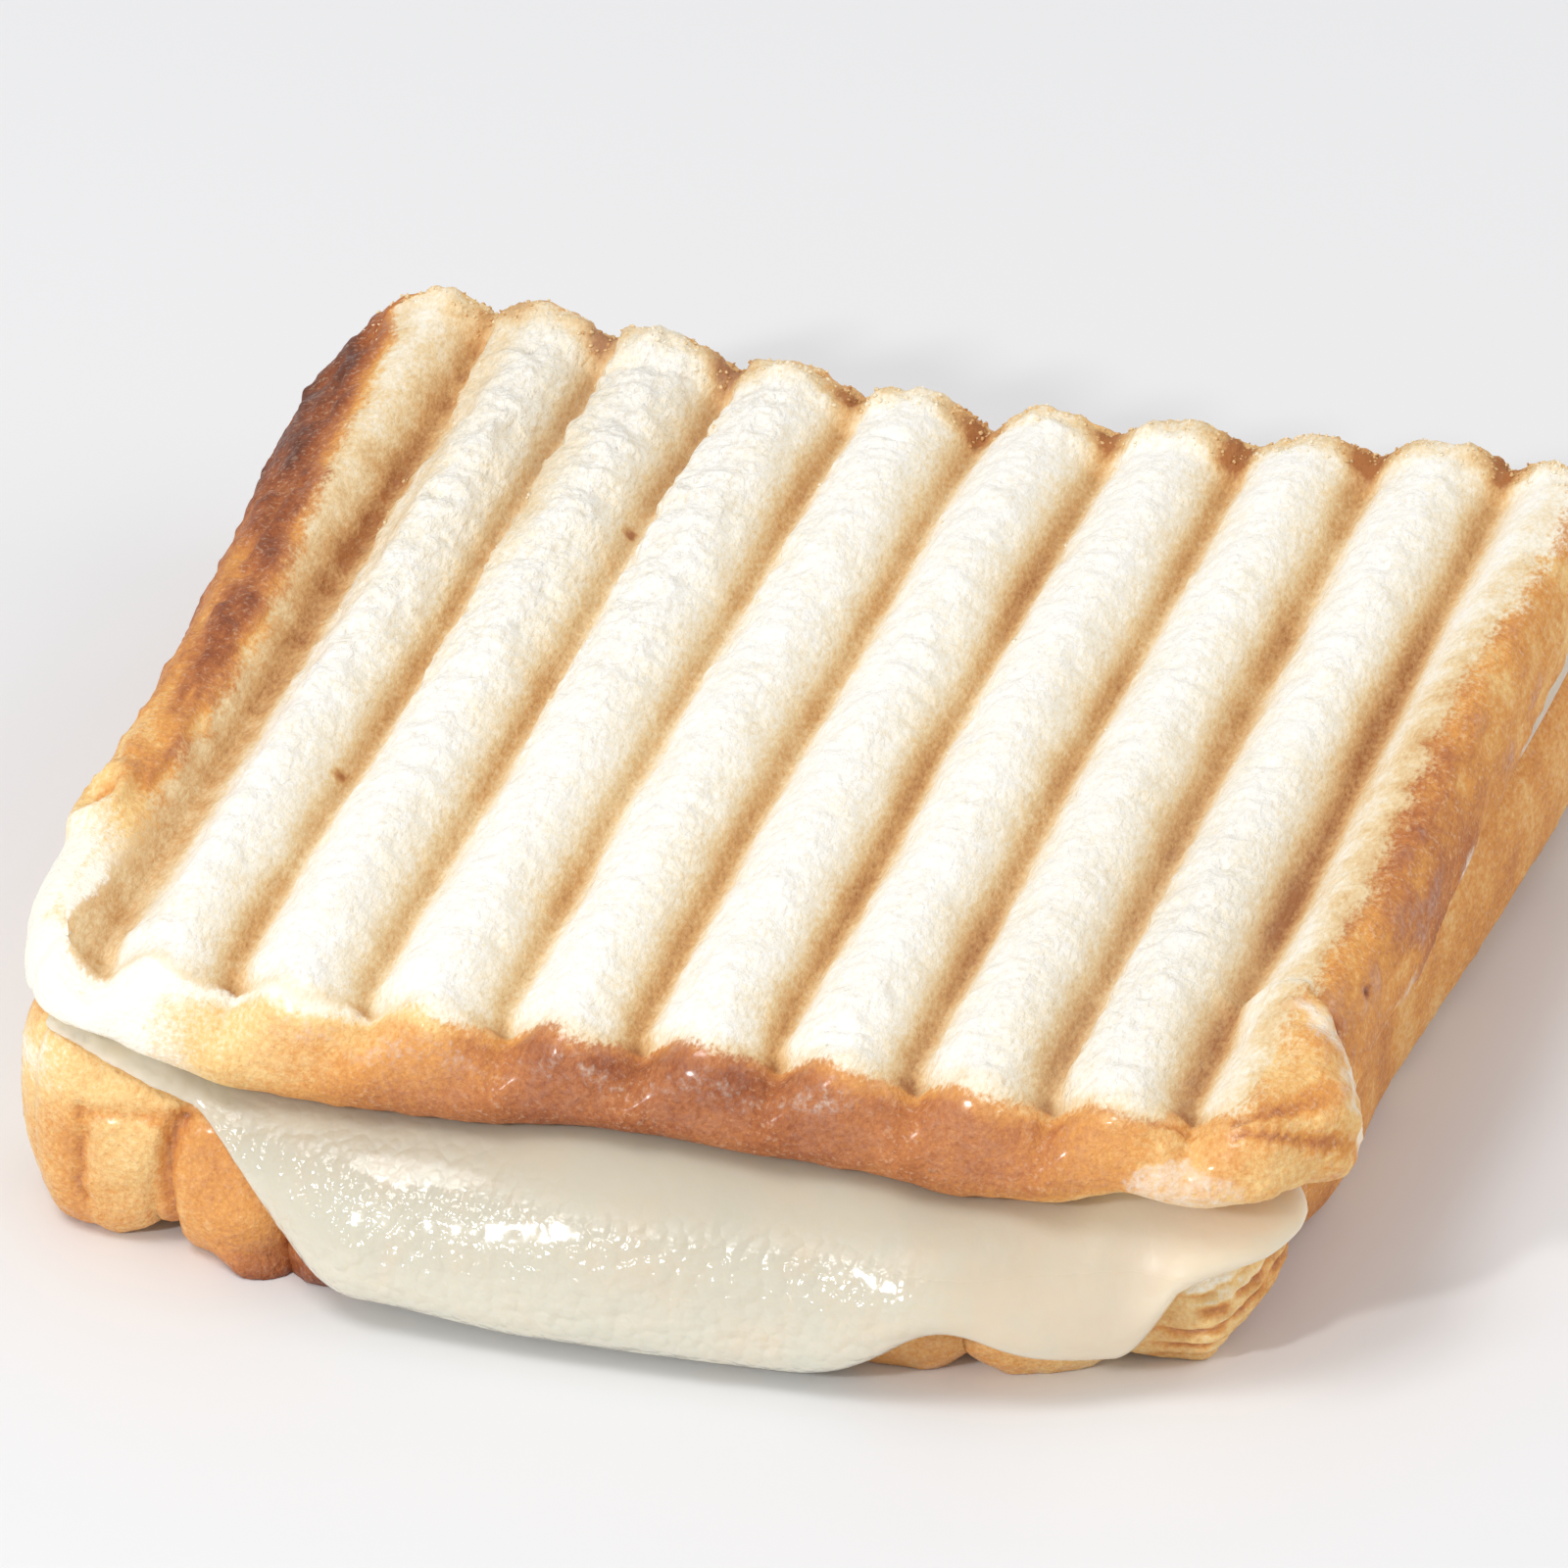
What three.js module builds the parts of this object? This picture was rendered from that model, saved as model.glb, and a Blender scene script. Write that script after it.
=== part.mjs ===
// A toasted cheese sandwich, pressed in a ribbed grill: two slices of white bread with
// melted cheese between them, which has run out and down over the front of the lower slice.
//
// Frame: millimetres, +Z up. The origin is on the plane it rests on, under the middle rib.
// The ribs run along Y. +X is the right of the sandwich and -Y its front, where the cheese hangs.
//
// Every solid is one box of side 2, with corners at (u, v, w) = +-1, bent into shape: u runs
// across the ribs, v from front to back and w from the hidden face up to the one that shows.

import * as THREE from 'three';
import { mergeVertices } from 'three/addons/utils/BufferGeometryUtils.js';

// ---------------------------------------------------------------- driving dimensions

const RIB_PITCH = 12;        // from one groove of the grill's print to the next
const RIB_HEIGHT = 4;        // a rib stands this far above the grooves beside it
const PITCHES_TO_EDGE = 4;   // grooves on each side of the middle one
const GROOVE_TOP = 25;       // level of the grooves in the upper face
const SEAM_TOP = 17.6;       // underside of the upper slice
const LAYER = 3;             // cheese between the slices
const CRUST_ROLL = 4;        // the crust rounds out this far past the rim of the flat face
const BASE_GROOVE = 2.6;     // depth of the print in the underside
const GAP = 0.35;            // clearance that keeps neighbouring solids apart

const FACE_X = PITCHES_TO_EDGE * RIB_PITCH;   // outermost groove
const HALF_DEPTH = 56;                        // half of a slice from front to back
const PRINTED = 0.8;                          // |u| up to which the grid follows the grooves

// How many faces each box has along u, v and w.
const SLICE_GRID = [50, 10, 5];
const CHEESE_GRID = [40, 10, 8];
const DRAPE_SHARE = 5 / 8;   // the part of w that goes to the outside of the hanging cheese

// ---------------------------------------------------------------- small functions

const clamp = (x, low, high) => Math.min(high, Math.max(low, x));

/** 0 before a, 1 after b, and an S-shaped rise between them; a may be the larger. */
function smooth(a, b, x) {
  const t = clamp((x - a) / (b - a), 0, 1);
  return t * t * (3 - 2 * t);
}

const bell = (t) => Math.exp(-t * t);

/** Slow unevenness from -1 to 1: three waves that cross; seed moves them along. */
function wobble(x, y, seed) {
  return (Math.sin(0.071 * x + 0.043 * y + 1.7 * seed)
    + Math.sin(0.113 * y - 0.052 * x + 2.9 * seed)
    + Math.sin(0.157 * x + 0.091 * y + 4.1 * seed)) / 3;
}

/** The print of the grill: 0 in a groove, 1 on the crest, with the groove's bottom rounded. */
function rib(x) {
  const softness = 0.02;
  const s = Math.sin(Math.PI * x / RIB_PITCH);
  const low = Math.sqrt(softness);
  return (Math.sqrt(s * s + softness) - low) / (Math.sqrt(1 + softness) - low);
}

// ---------------------------------------------------------------- outline in plan

// The rim of each slice's flat face, inside the rolled crust. The sides are functions of the
// distance along them; pull says how far each corner is drawn in.
const topOutline = {
  left: (y) => -(54.6 + 0.052 * y + 1.3 * smooth(-10, 50, y) + 0.7 * smooth(-30, -48, y)),
  right: (y) => 55 + 0.012 * y - 0.9 * smooth(-25, 10, y) - 0.5 * smooth(-18, -30, y),
  front: (x) => -55.3 + 1.2 * (x / 54) ** 4,
  back: (x) => 53.6 + 4.2 * ((x - 4) / 54) ** 2 + 1.2 * smooth(-44, -54, x),
  pull: { frontLeft: 0.035, frontRight: 0.022, backLeft: 0.045, backRight: 0.035 },
};

const lowOutline = {
  left: (y) => -(53.6 + 0.052 * y) - 2.2 * smooth(-30, -52, y),
  right: (y) => 52 + 3 * Math.tanh(y / 30) + 0.7 * smooth(-15, -25, y),
  front: (x) => -55.3 + 0.8 * (x / 54) ** 4 + 6.2 * smooth(24, 54, x),
  back: (x) => 53 + 3.8 * ((x - 4) / 54) ** 2,
  pull: { frontLeft: 0.045, frontRight: 0.02, backLeft: 0.035, backRight: 0.035 },
};

/** The place in plan of (u, v): straight along the grooves, bent near the sides and corners. */
function planPoint(u, v, outline) {
  const beyond = (Math.abs(u) - PRINTED) / (1 - PRINTED);
  const edge = u > 0 ? outline.right(v * HALF_DEPTH) : outline.left(v * HALF_DEPTH);
  const groove = Math.sign(u) * FACE_X;
  const x = beyond <= 0 ? u / PRINTED * FACE_X : groove + beyond * (edge - groove);
  const front = outline.front(x);
  const back = outline.back(x);
  const y = (front + back) / 2 + v * (back - front) / 2;
  const { frontLeft, frontRight, backLeft, backRight } = outline.pull;
  const pull = ((frontLeft * (1 - u) + frontRight * (1 + u)) * (1 - v)
    + (backLeft * (1 - u) + backRight * (1 + u)) * (1 + v)) / 4;
  const shrink = 1 - pull * Math.abs(u * v) ** 14;
  return [x * shrink, y * shrink];
}

/** The direction in plan away from the slice, which turns smoothly round the corners. */
function outward(u, v) {
  const nx = Math.sign(u) * Math.abs(u) ** 12;
  const ny = Math.sign(v) * Math.abs(v) ** 12;
  const length = Math.hypot(nx, ny);
  return [nx / length, ny / length];
}

/** Half of a rounded rim: how far out and how far up it is at w, from -1 to 1. */
function roll(w, power) {
  const angle = w * Math.PI / 2;
  return [
    Math.max(0, Math.cos(angle)) ** (2 / power),
    Math.sign(w) * Math.abs(Math.sin(angle)) ** (2 / power),
  ];
}

const onRim = (u, v) => Math.max(Math.abs(u), Math.abs(v)) > 1 - 1e-9;

// ---------------------------------------------------------------- levels

// The front left corner curls up, the crust of the upper slice is torn and lifted at the front
// right, where it also stands out like a tongue, and the lower slice's corner there is fanned out.
const curl = (x, y) => smooth(-34, -55, x) * smooth(-32, -55, y);
const flap = (x, y) => smooth(42, 58, x) * smooth(-40, -54, y);
const tongue = (x, y) => smooth(42, 50, x) * smooth(-40.5, -47.2, y)
  * (1 - 0.5 * smooth(-47.2, -51, y)) * smooth(-58, -51, y);
const fan = (x, y) => smooth(43, 50, x) * smooth(-34, -44, y);

/** How far the cheese pushes the front edge up; beside the middle the edge sags instead. */
function frontLift(x, y) {
  const raised = 1.3 * bell((x - 3) / 11) + 0.4 * bell((x - 19) / 6) + 2.4 * bell((x - 43.8) / 4);
  const sagging = 0.9 * smooth(-2, -16, x) * smooth(-42, -34, x) + 0.6 * bell((x - 29) / 4);
  return (raised - sagging) * smooth(-40, -55, y);
}

/** How far the rim at the back, where the plate of the grill ended, stands above the print. */
function crushedRim(x) {
  const high = 0.5 * bell((x + 31) / 7) + 0.4 * bell((x - 17) / 6);
  const low = 0.6 * smooth(-42, -46, x) + 1.2 * bell(x / 3) + 0.5 * bell((x - 29) / 4) + 0.7 * smooth(49, 54, x);
  return 0.15 + 0.7 * smooth(-10, -40, x) + 1.3 * (1 - rib(x)) + high - low;
}

function topFace(x, y) {
  const ends = 1 - 0.16 * smooth(44, 56, Math.abs(y));
  const sides = 1 - 0.22 * smooth(50, 55, Math.abs(x));
  const sag = 1.4 * bell((x - 4) / 30) * smooth(25, 56, y);
  const dip = 1.5 * (1 - rib(x)) * smooth(4, 0, y - topOutline.front(x)) * (1 - smooth(40, 48, x));
  const rim = crushedRim(x) * smooth(4.5, 0, topOutline.back(x) - y);
  return GROOVE_TOP + RIB_HEIGHT * ends * sides * rib(x) + 0.5 * wobble(x, y, 1) - sag - dip + rim;
}

function topSeam(x, y) {
  return SEAM_TOP + 0.35 * wobble(x, y, 2) + 3.4 * curl(x, y) + 4 * flap(x, y) + frontLift(x, y);
}

function lowSeam(x, y) {
  return SEAM_TOP - LAYER + 0.35 * wobble(x, y, 2) + 5.6 * curl(x, y) + 1.2 * flap(x, y);
}

/** The underside: flat ribs at 0, half a pitch over from those of the upper face. */
function lowFace(x) {
  const s = Math.abs(Math.cos(Math.PI * x / RIB_PITCH));
  return BASE_GROOVE * (1 - clamp(1.25 * s, 0, 1) ** 0.8);
}

/** A level between low and high, widest at belly: h is -1 at low, 0 at belly and 1 at high. */
const between = (low, belly, high, h) => belly + h * (h > 0 ? high - belly : belly - low);

// ---------------------------------------------------------------- the three solids

function topSlicePoint(u, v, w) {
  const [x, y] = planPoint(u, v, topOutline);
  const low = topSeam(x, y);
  const belly = low + 0.45 * (GROOVE_TOP - low);
  const slope = smooth(-50, -56, x) * smooth(0, 45, y);   // the back left corner is bevelled
  const [out, h] = roll(w, w > 0 ? 2.3 - 0.9 * slope : 2.3);
  const z = between(low, belly, topFace(x, y), h);
  if (!onRim(u, v)) return [x, y, z];
  const [nx, ny] = outward(u, v);
  const notch = 1 - 0.22 * (1 - rib(x)) * Math.max(0, h) * Math.max(0, -ny);
  const reach = CRUST_ROLL * (1 + 0.12 * wobble(x, y, 3)) * notch + 0.8 * slope
    + 1.2 * flap(x, y) + 2.6 * Math.max(0, nx) * tongue(x, y);
  return [x + nx * out * reach, y + ny * out * reach, z];
}

/** How far the lower slice's crust rolls out at height h from -1 to 1: further where it is fanned. */
function lowReach(x, y, h) {
  const fanned = 2 * fan(x, y) * smooth(-0.9, -0.1, h) * smooth(1, 0.5, h);
  return CRUST_ROLL * (1 + 0.12 * wobble(x, y, 5)) + fanned;
}

function bottomSlicePoint(u, v, w) {
  const [x, y] = planPoint(u, v, lowOutline);
  const high = lowSeam(x, y);
  const [out, h] = roll(w, 2.6);
  const z = between(lowFace(x), high / 2, high, h);
  if (!onRim(u, v)) return [x, y, z];
  const crease = 0.9 * (lowFace(x) / BASE_GROOVE) ** 2 * smooth(0.5, -0.6, h) * smooth(40, 50, Math.abs(y));
  const [nx, ny] = outward(u, v);
  const reach = lowReach(x, y, h) - crease;
  return [x + nx * out * reach, y + ny * out * reach, z];
}

/** The level that the melted edge reaches along the front, with an arch over the crust. */
function drapeTip(x) {
  const low = 0.7 + smooth(-22, -30, x) + 5.6 * bell((x - 29) / 6.5);
  return low + 2.8 * smooth(24, 40, x) + 12.5 * smooth(43, 52, x);
}

const hang = (x) => smooth(-38.5, -25, x) * (1 - smooth(50, 62, x));
const lip = (x, y) => smooth(40, 50, x) * smooth(-34, -46, y);

const heavy = (x) => smooth(-39, -21, x) * (1 - 0.15 * smooth(0, 22, x)) * (1 - 0.45 * smooth(34, 56, x));

/** The cheese: a layer between the slices whose rim swells out, hangs down and folds back up. */
function cheesePoint(u, v, w) {
  const [x, y] = planPoint(u, v, lowOutline);
  const high = topSeam(x, y) - GAP;
  const low = lowSeam(x, y) + GAP;
  if (!onRim(u, v)) return [x, y, w > 0 ? high : low];

  const [nx, ny] = outward(u, v);
  const front = Math.max(0, -ny) ** 2;
  const drop = front * hang(x);
  const edge = low - 0.3;
  const tip = edge + (drapeTip(x) - edge) * drop - 0.4 * lip(x, y) * (1 - drop);
  const swell = 0.4 + front * (1.2 + 7.6 * heavy(x)) + 3.2 * lip(x, y) * (1 - front)
    + 4.6 * Math.max(0, nx) * tongue(x, y);

  // The side of the lower slice, which the cheese hangs over: a rounded rim about its belly.
  const top = lowSeam(x, y);
  const belly = top / 2;
  const wallPower = 1.3;
  const wall = (h) => lowReach(x, y, h) * Math.max(0, 1 - h ** (2 * wallPower)) ** (0.5 / wallPower) + GAP + 0.1;
  const tipHeight = clamp((tip - belly) / (top - belly), 0, 0.98);

  const share = (1 - w) / 2;
  let out;
  let z;
  if (share <= DRAPE_SHARE) {
    // outside: from the seam round to the tip
    const angle = Math.PI / 2 * (1 - 2 * share / DRAPE_SHARE);
    const s = Math.sin(angle);
    const c = Math.max(0, Math.cos(angle));
    out = wall(tipHeight) * (1 - s) / 2 + swell * c ** 0.95;
    z = (high + tip) / 2 + (high - tip) / 2 * Math.sign(s) * Math.abs(s) ** 0.95 - 0.11 * (high - tip) * c * c;
  } else {
    // inside: from the tip up the lower slice and in to the seam, in the slice's own steps
    const t = (share - DRAPE_SHARE) / (1 - DRAPE_SHARE);
    const step = Math.PI / SLICE_GRID[2];
    const start = Math.asin(tipHeight ** wallPower);
    const angle = Math.max(step * (3 * t - 0.5), start + (Math.PI / 2 - start) * t);
    const h = Math.sin(angle) ** (1 / wallPower);
    const atSeam = w < -1 + 1e-9;
    out = atSeam ? 0 : wall(h);
    z = atSeam ? low : belly + h * (top - belly) + GAP * h;
  }
  return [x + nx * out, y + ny * out, z];
}

// ---------------------------------------------------------------- meshes

/** A box of side 2 with its corners bent to place(u, v, w), as one closed mesh. */
function bentBox(place, [nu, nv, nw]) {
  const geometry = new THREE.BoxGeometry(2, 2, 2, nu, nv, nw);
  geometry.deleteAttribute('normal');
  geometry.deleteAttribute('uv');
  const position = geometry.getAttribute('position');
  for (let i = 0; i < position.count; i += 1) {
    const u = position.getX(i);
    // rows along v close up towards the front and the back, where the crust turns
    const v = Math.sin(position.getY(i) * Math.PI / 2);
    const w = position.getZ(i);
    position.setXYZ(i, ...place(u, v, w));
  }
  const closed = mergeVertices(geometry, 1e-4);
  closed.computeVertexNormals();
  return closed;
}

function addSolid(group, name, place, grid, look) {
  const solid = new THREE.Mesh(bentBox(place, grid), new THREE.MeshStandardMaterial(look));
  solid.name = name;
  group.add(solid);
}

const toastie = new THREE.Group();
addSolid(toastie, 'bottom_slice', bottomSlicePoint, SLICE_GRID, { color: 0xd49a5c, roughness: 0.7, metalness: 0 });
addSolid(toastie, 'melted_cheese', cheesePoint, CHEESE_GRID, { color: 0xe9e2cf, roughness: 0.3, metalness: 0 });
addSolid(toastie, 'top_slice', topSlicePoint, SLICE_GRID, { color: 0xf2e6cf, roughness: 0.8, metalness: 0 });

export default toastie;
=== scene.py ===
# %% [markdown]
# # A mixed toastie from a ribbed sandwich press
#
# The object is a pressed sandwich: two slices of white bread, and cheese that melted between them and ran
# out over the front. The hot plates of the press printed ribs into the bread and browned the valleys
# between them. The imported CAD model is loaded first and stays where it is, as the frame. Three pieces made
# below take the place of its solids, in the same coordinates, and one adds the loose crumbs.

# %% Load the frame
import math
import bpy
import numpy as np
from mathutils import Matrix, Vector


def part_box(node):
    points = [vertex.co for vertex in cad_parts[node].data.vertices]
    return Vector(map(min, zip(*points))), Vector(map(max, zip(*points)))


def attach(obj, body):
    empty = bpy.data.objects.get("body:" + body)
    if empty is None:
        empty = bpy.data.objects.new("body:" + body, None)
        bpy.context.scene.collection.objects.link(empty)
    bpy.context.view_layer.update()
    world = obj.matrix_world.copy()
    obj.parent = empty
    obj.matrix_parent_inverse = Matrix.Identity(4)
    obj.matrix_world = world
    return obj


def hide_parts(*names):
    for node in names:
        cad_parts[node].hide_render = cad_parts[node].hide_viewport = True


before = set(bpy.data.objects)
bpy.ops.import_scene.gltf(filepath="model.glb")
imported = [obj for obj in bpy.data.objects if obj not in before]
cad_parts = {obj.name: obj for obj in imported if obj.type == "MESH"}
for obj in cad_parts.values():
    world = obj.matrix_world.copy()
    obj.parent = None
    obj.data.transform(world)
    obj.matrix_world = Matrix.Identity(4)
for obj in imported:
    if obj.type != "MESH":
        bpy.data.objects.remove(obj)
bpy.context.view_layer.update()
print("solids:", sorted(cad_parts))

# %% [markdown]
# Kitchen-sized things are easier to think about in millimetres, and Blender works in metres. So every shape
# is worked out in millimetres and is scaled once, as it goes into its mesh. Most sizes are the press
# plate's: its ribs stand 12 mm apart and the bread between them rises 4 mm above the valleys.

# %% Driving sizes, in millimetres
MM = 0.001
RIB_PITCH = 12.0
RIB_HEIGHT = 4.0
VALLEY_TOP = 25.0
SEAM_TOP = 17.6
CHEESE_LAYER = 3.0
CRUST_ROLL = 4.0
UNDER_PRINT = 2.6
VALLEY_ROUNDING = 0.02
PRINTED_X = 4 * RIB_PITCH
PRINTED_SHARE = 0.8
HALF_DEPTH = 56.0

for node in sorted(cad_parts):
    low, high = [np.array(corner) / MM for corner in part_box(node)]
    print(node, "is", np.round(high - low, 1), "mm")

# %% [markdown]
# Soft food has no straight edges, so three small curves shape everything: a smooth step, which goes from 0
# to 1 between two places, a bell, which is 1 at its middle and fades away, and a slow wobble, which keeps
# any line from being perfectly regular.

# %% Curves that shape everything


def smooth(start, end, x):
    """0 before start and 1 after end, and 3t² - 2t³ between them."""
    t = np.clip((x - start) / (end - start), 0, 1)
    return t * t * (3 - 2 * t)


def bell(t):
    """1 at t = 0, fading to both sides as e to the power -t²."""
    return np.exp(-t * t)


def wobble(x, y, seed):
    """The mean of three slow sine waves in different directions, from -1 to 1."""
    first = np.sin(0.071 * x + 0.043 * y + 1.7 * seed)
    second = np.sin(0.113 * y - 0.052 * x + 2.9 * seed)
    third = np.sin(0.157 * x + 0.091 * y + 4.1 * seed)
    return (first + second + third) / 3


def rib(x):
    """The print across the ribs: |sin| of the pitch, with its sharp valley rounded a little, from 0 to 1."""
    s = np.abs(np.sin(np.pi * x / RIB_PITCH))
    low, high = math.sqrt(VALLEY_ROUNDING), math.sqrt(1 + VALLEY_ROUNDING)
    return (np.sqrt(s * s + VALLEY_ROUNDING) - low) / (high - low)


print("rib height a quarter of the way across:", round(float(RIB_HEIGHT * rib(3.0)), 2), "mm")

# %% [markdown]
# Crumb, crust and melted cheese all need unevenness with no direction and no repeat. Random values sit on
# the corners of a grid of cubes and are blended between them, which gives soft lumps of a chosen size. Sums
# of lumps at half the size each time look like clouds, and the folded version of the same sum has round
# puffs with sharp creases between them, as torn crumb has. The random table has a fixed seed.

# %% Unevenness
rng = np.random.default_rng(20)
TABLE_SIZE = 32
TABLE = rng.random((TABLE_SIZE, TABLE_SIZE, TABLE_SIZE))


def grid_places(x, y, z, size, seed_shift, axis_shift):
    """Places counted in cubes of the size, and the cubes they fall in. The shifts keep uses apart."""
    places = [np.asarray(c, float) / size + seed_shift + axis_shift * i for i, c in enumerate((x, y, z))]
    return places, [np.floor(p).astype(int) for p in places]


def lumps(x, y, z, size, seed=0):
    """Random values at cube corners, blended by 3t² - 2t³ along each axis, from -1 to 1."""
    places, cells = grid_places(x, y, z, size, 7.31 * seed, 3.7)
    t = [smooth(0, 1, p - c) for p, c in zip(places, cells)]
    total = 0
    for i in (0, 1):
        for j in (0, 1):
            for k in (0, 1):
                corner = TABLE[(cells[0] + i) % TABLE_SIZE, (cells[1] + j) % TABLE_SIZE,
                               (cells[2] + k) % TABLE_SIZE]
                share = (t[0] if i else 1 - t[0]) * (t[1] if j else 1 - t[1]) * (t[2] if k else 1 - t[2])
                total = total + corner * share
    return 2 * total - 1


def cloud(x, y, z, size, layers=3, seed=0, fold=np.asarray):
    """Lumps of the size, plus half as much of half the size, and so on, from -1 to 1."""
    weights = [0.5 ** i for i in range(layers)]
    parts = [w * fold(lumps(x, y, z, size * w, seed + i)) for i, w in enumerate(weights)]
    return sum(parts) / sum(weights)


def puffs(x, y, z, size, layers=2, seed=0):
    """The absolute value of each layer of lumps: round puffs with sharp creases between, from 0 to 1."""
    return cloud(x, y, z, size, layers, seed, np.abs)


def pores(x, y, z, size, radius, seed=0):
    """One random hole in each cube of the size: 1 at its middle, and a bell of its own radius around it."""
    places, cells = grid_places(x, y, z, size, 5.13 * seed, 1.9)
    deepest = 0
    for step in np.ndindex(3, 3, 3):
        cube = [(c + s - 1) % TABLE_SIZE for c, s in zip(cells, step)]
        pull = [TABLE[cube[i], cube[(i + 1) % 3], cube[(i + 2) % 3]] for i in range(3)]
        gap = [c + s - 1 + q - p for c, s, q, p in zip(cells, step, pull, places)]
        distance = np.sqrt(sum(g * g for g in gap)) * size
        hole = radius * (0.35 + 0.65 * TABLE[cube[2], cube[0], cube[1]])
        deepest = np.maximum(deepest, bell(distance / hole))
    return deepest


sample = np.linspace(-40, 40, 500)
drawn = cloud(sample, 0 * sample, 0 * sample, 5)
print("cloud ranges over", np.round([drawn.min(), drawn.max()], 2))

# %% [markdown]
# Seen from above, each slice is a square with sides that bow and lean. Four curves give its left, right,
# front and back edges, and a small pull rounds each corner. The two numbers u and v run from -1 to 1 across
# the slice, and the printed middle has the same width on both slices, so that the ribs stay straight.

# %% The outlines of the two slices
UPPER_OUTLINE = {
    "left": lambda y: -(54.6 + 0.052 * y + 1.3 * smooth(-10, 50, y) + 0.7 * smooth(-30, -48, y)),
    "right": lambda y: 55.0 + 0.012 * y - 0.9 * smooth(-25, 10, y) - 0.5 * smooth(-18, -30, y),
    "front": lambda x: -55.3 + 1.2 * (x / 54) ** 4,
    "back": lambda x: 53.6 + 4.2 * ((x - 4) / 54) ** 2 + 1.2 * smooth(-44, -54, x),
    "pull": (0.035, 0.022, 0.045, 0.035),
}
LOWER_OUTLINE = {
    "left": lambda y: -(53.6 + 0.052 * y) - 2.2 * smooth(-30, -52, y),
    "right": lambda y: 52.0 + 3.0 * np.tanh(y / 30) + 0.7 * smooth(-15, -25, y),
    "front": lambda x: -55.3 + 0.8 * (x / 54) ** 4 + 6.2 * smooth(24, 54, x),
    "back": lambda x: 53.0 + 3.8 * ((x - 4) / 54) ** 2,
    "pull": (0.045, 0.02, 0.035, 0.035),
}


def plan(u, v, outline):
    """Where u, v falls: even steps over the print, the rest shared out to the edge, corners pulled in."""
    leaning_y = v * HALF_DEPTH
    beyond = (np.abs(u) - PRINTED_SHARE) / (1 - PRINTED_SHARE)
    to_right = PRINTED_X + beyond * (outline["right"](leaning_y) - PRINTED_X)
    to_left = -PRINTED_X + beyond * (outline["left"](leaning_y) + PRINTED_X)
    x = np.where(beyond <= 0, u / PRINTED_SHARE * PRINTED_X, np.where(u > 0, to_right, to_left))
    front = outline["front"](x)
    back = outline["back"](x)
    y = (front + back) / 2 + v * (back - front) / 2
    shares = ((1 - u) * (1 - v), (1 + u) * (1 - v), (1 - u) * (1 + v), (1 + u) * (1 + v))
    pull = sum(p * s for p, s in zip(outline["pull"], shares)) / 4 * np.abs(u * v) ** 14
    return x * (1 - pull), y * (1 - pull)


def outward(u, v):
    """The direction out of the slice at its rim: u and v to the power 12, which turns evenly at a corner."""
    nx = np.sign(u) * np.abs(u) ** 12
    ny = np.sign(v) * np.abs(v) ** 12
    length = np.maximum(np.hypot(nx, ny), 1e-9)
    return nx / length, ny / length


def rounded(w, power):
    """A half turn from w = 1 to w = -1 on a squarish circle: how far out, and how high from -1 to 1."""
    turn = w * np.pi / 2
    return np.clip(np.cos(turn), 0, 1) ** (2 / power), np.sign(w) * np.abs(np.sin(turn)) ** (2 / power)


def between(low, belly, high, up):
    """A height between low and high, where up is -1 at low, 0 at belly and 1 at high."""
    return belly + up * np.where(up > 0, high - belly, belly - low)


for name, outline in (("upper", UPPER_OUTLINE), ("lower", LOWER_OUTLINE)):
    print(name, "slice is", round(float(outline["right"](0) - outline["left"](0)), 1), "mm wide")

# %% [markdown]
# Four heights stack the sandwich: the printed top, the two faces that hold the cheese, and the printed
# underside. Three corners are out of true: the front left corner of the upper slice curls up, its front
# right corner is torn and sticks out like a tongue, and the one below that is pleated and fans out. The
# cheese pushes the front edge up a little. The valleys turn right and run out over the front edge. At the
# back the plate ended, so the valleys climb to a raised, crushed rim.

# %% Heights of the faces


def curl(x, y):
    """1 at the curled front left corner: a smooth step towards the left times one towards the front."""
    return smooth(-34, -55, x) * smooth(-32, -55, y)


def flap(x, y):
    """1 at the torn front right corner: a smooth step towards the right times one towards the front."""
    return smooth(42, 58, x) * smooth(-40, -54, y)


def tongue(x, y):
    """How much the torn corner sticks out to the right: 1 a little behind the corner, 0 further back."""
    ahead = smooth(42, 50, x) * smooth(-40.5, -47.2, y)
    return ahead * (1 - 0.5 * smooth(-47.2, -51, y)) * smooth(-58, -51, y)


def fan(x, y):
    """1 at the lower slice's pleated front right corner: a smooth step to the right times one forwards."""
    return smooth(43, 50, x) * smooth(-34, -44, y)


def front_lift(x, y):
    """How far the cheese pushes the front edge up, in millimetres: three bells, and two places that sag."""
    raised = 1.3 * bell((x - 3) / 11) + 0.4 * bell((x - 19) / 6) + 2.4 * bell((x - 43.8) / 4)
    sagging = 0.9 * smooth(-2, -16, x) * smooth(-42, -34, x) + 0.6 * bell((x - 29) / 4)
    return (raised - sagging) * smooth(-40, -55, y)


def crushed_rim(x):
    """How far the rim at the back stands above the print, in millimetres: more in valleys, less at bells."""
    high = 0.5 * bell((x + 31) / 7) + 0.4 * bell((x - 17) / 6)
    low = 0.6 * smooth(-42, -46, x) + 1.2 * bell(x / 3) + 0.5 * bell((x - 29) / 4) + 0.7 * smooth(49, 54, x)
    return 0.15 + 0.7 * smooth(-10, -40, x) + 1.3 * (1 - rib(x)) + high - low


def turn_off(y):
    """How far the valleys turn off to the right at the front edge, in millimetres."""
    return 1.2 * smooth(-50, -57, y)


def print_pattern(x, y):
    """The print's ribs, from 0 in a valley to 1 on a crest."""
    return rib(x - turn_off(y))


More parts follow.
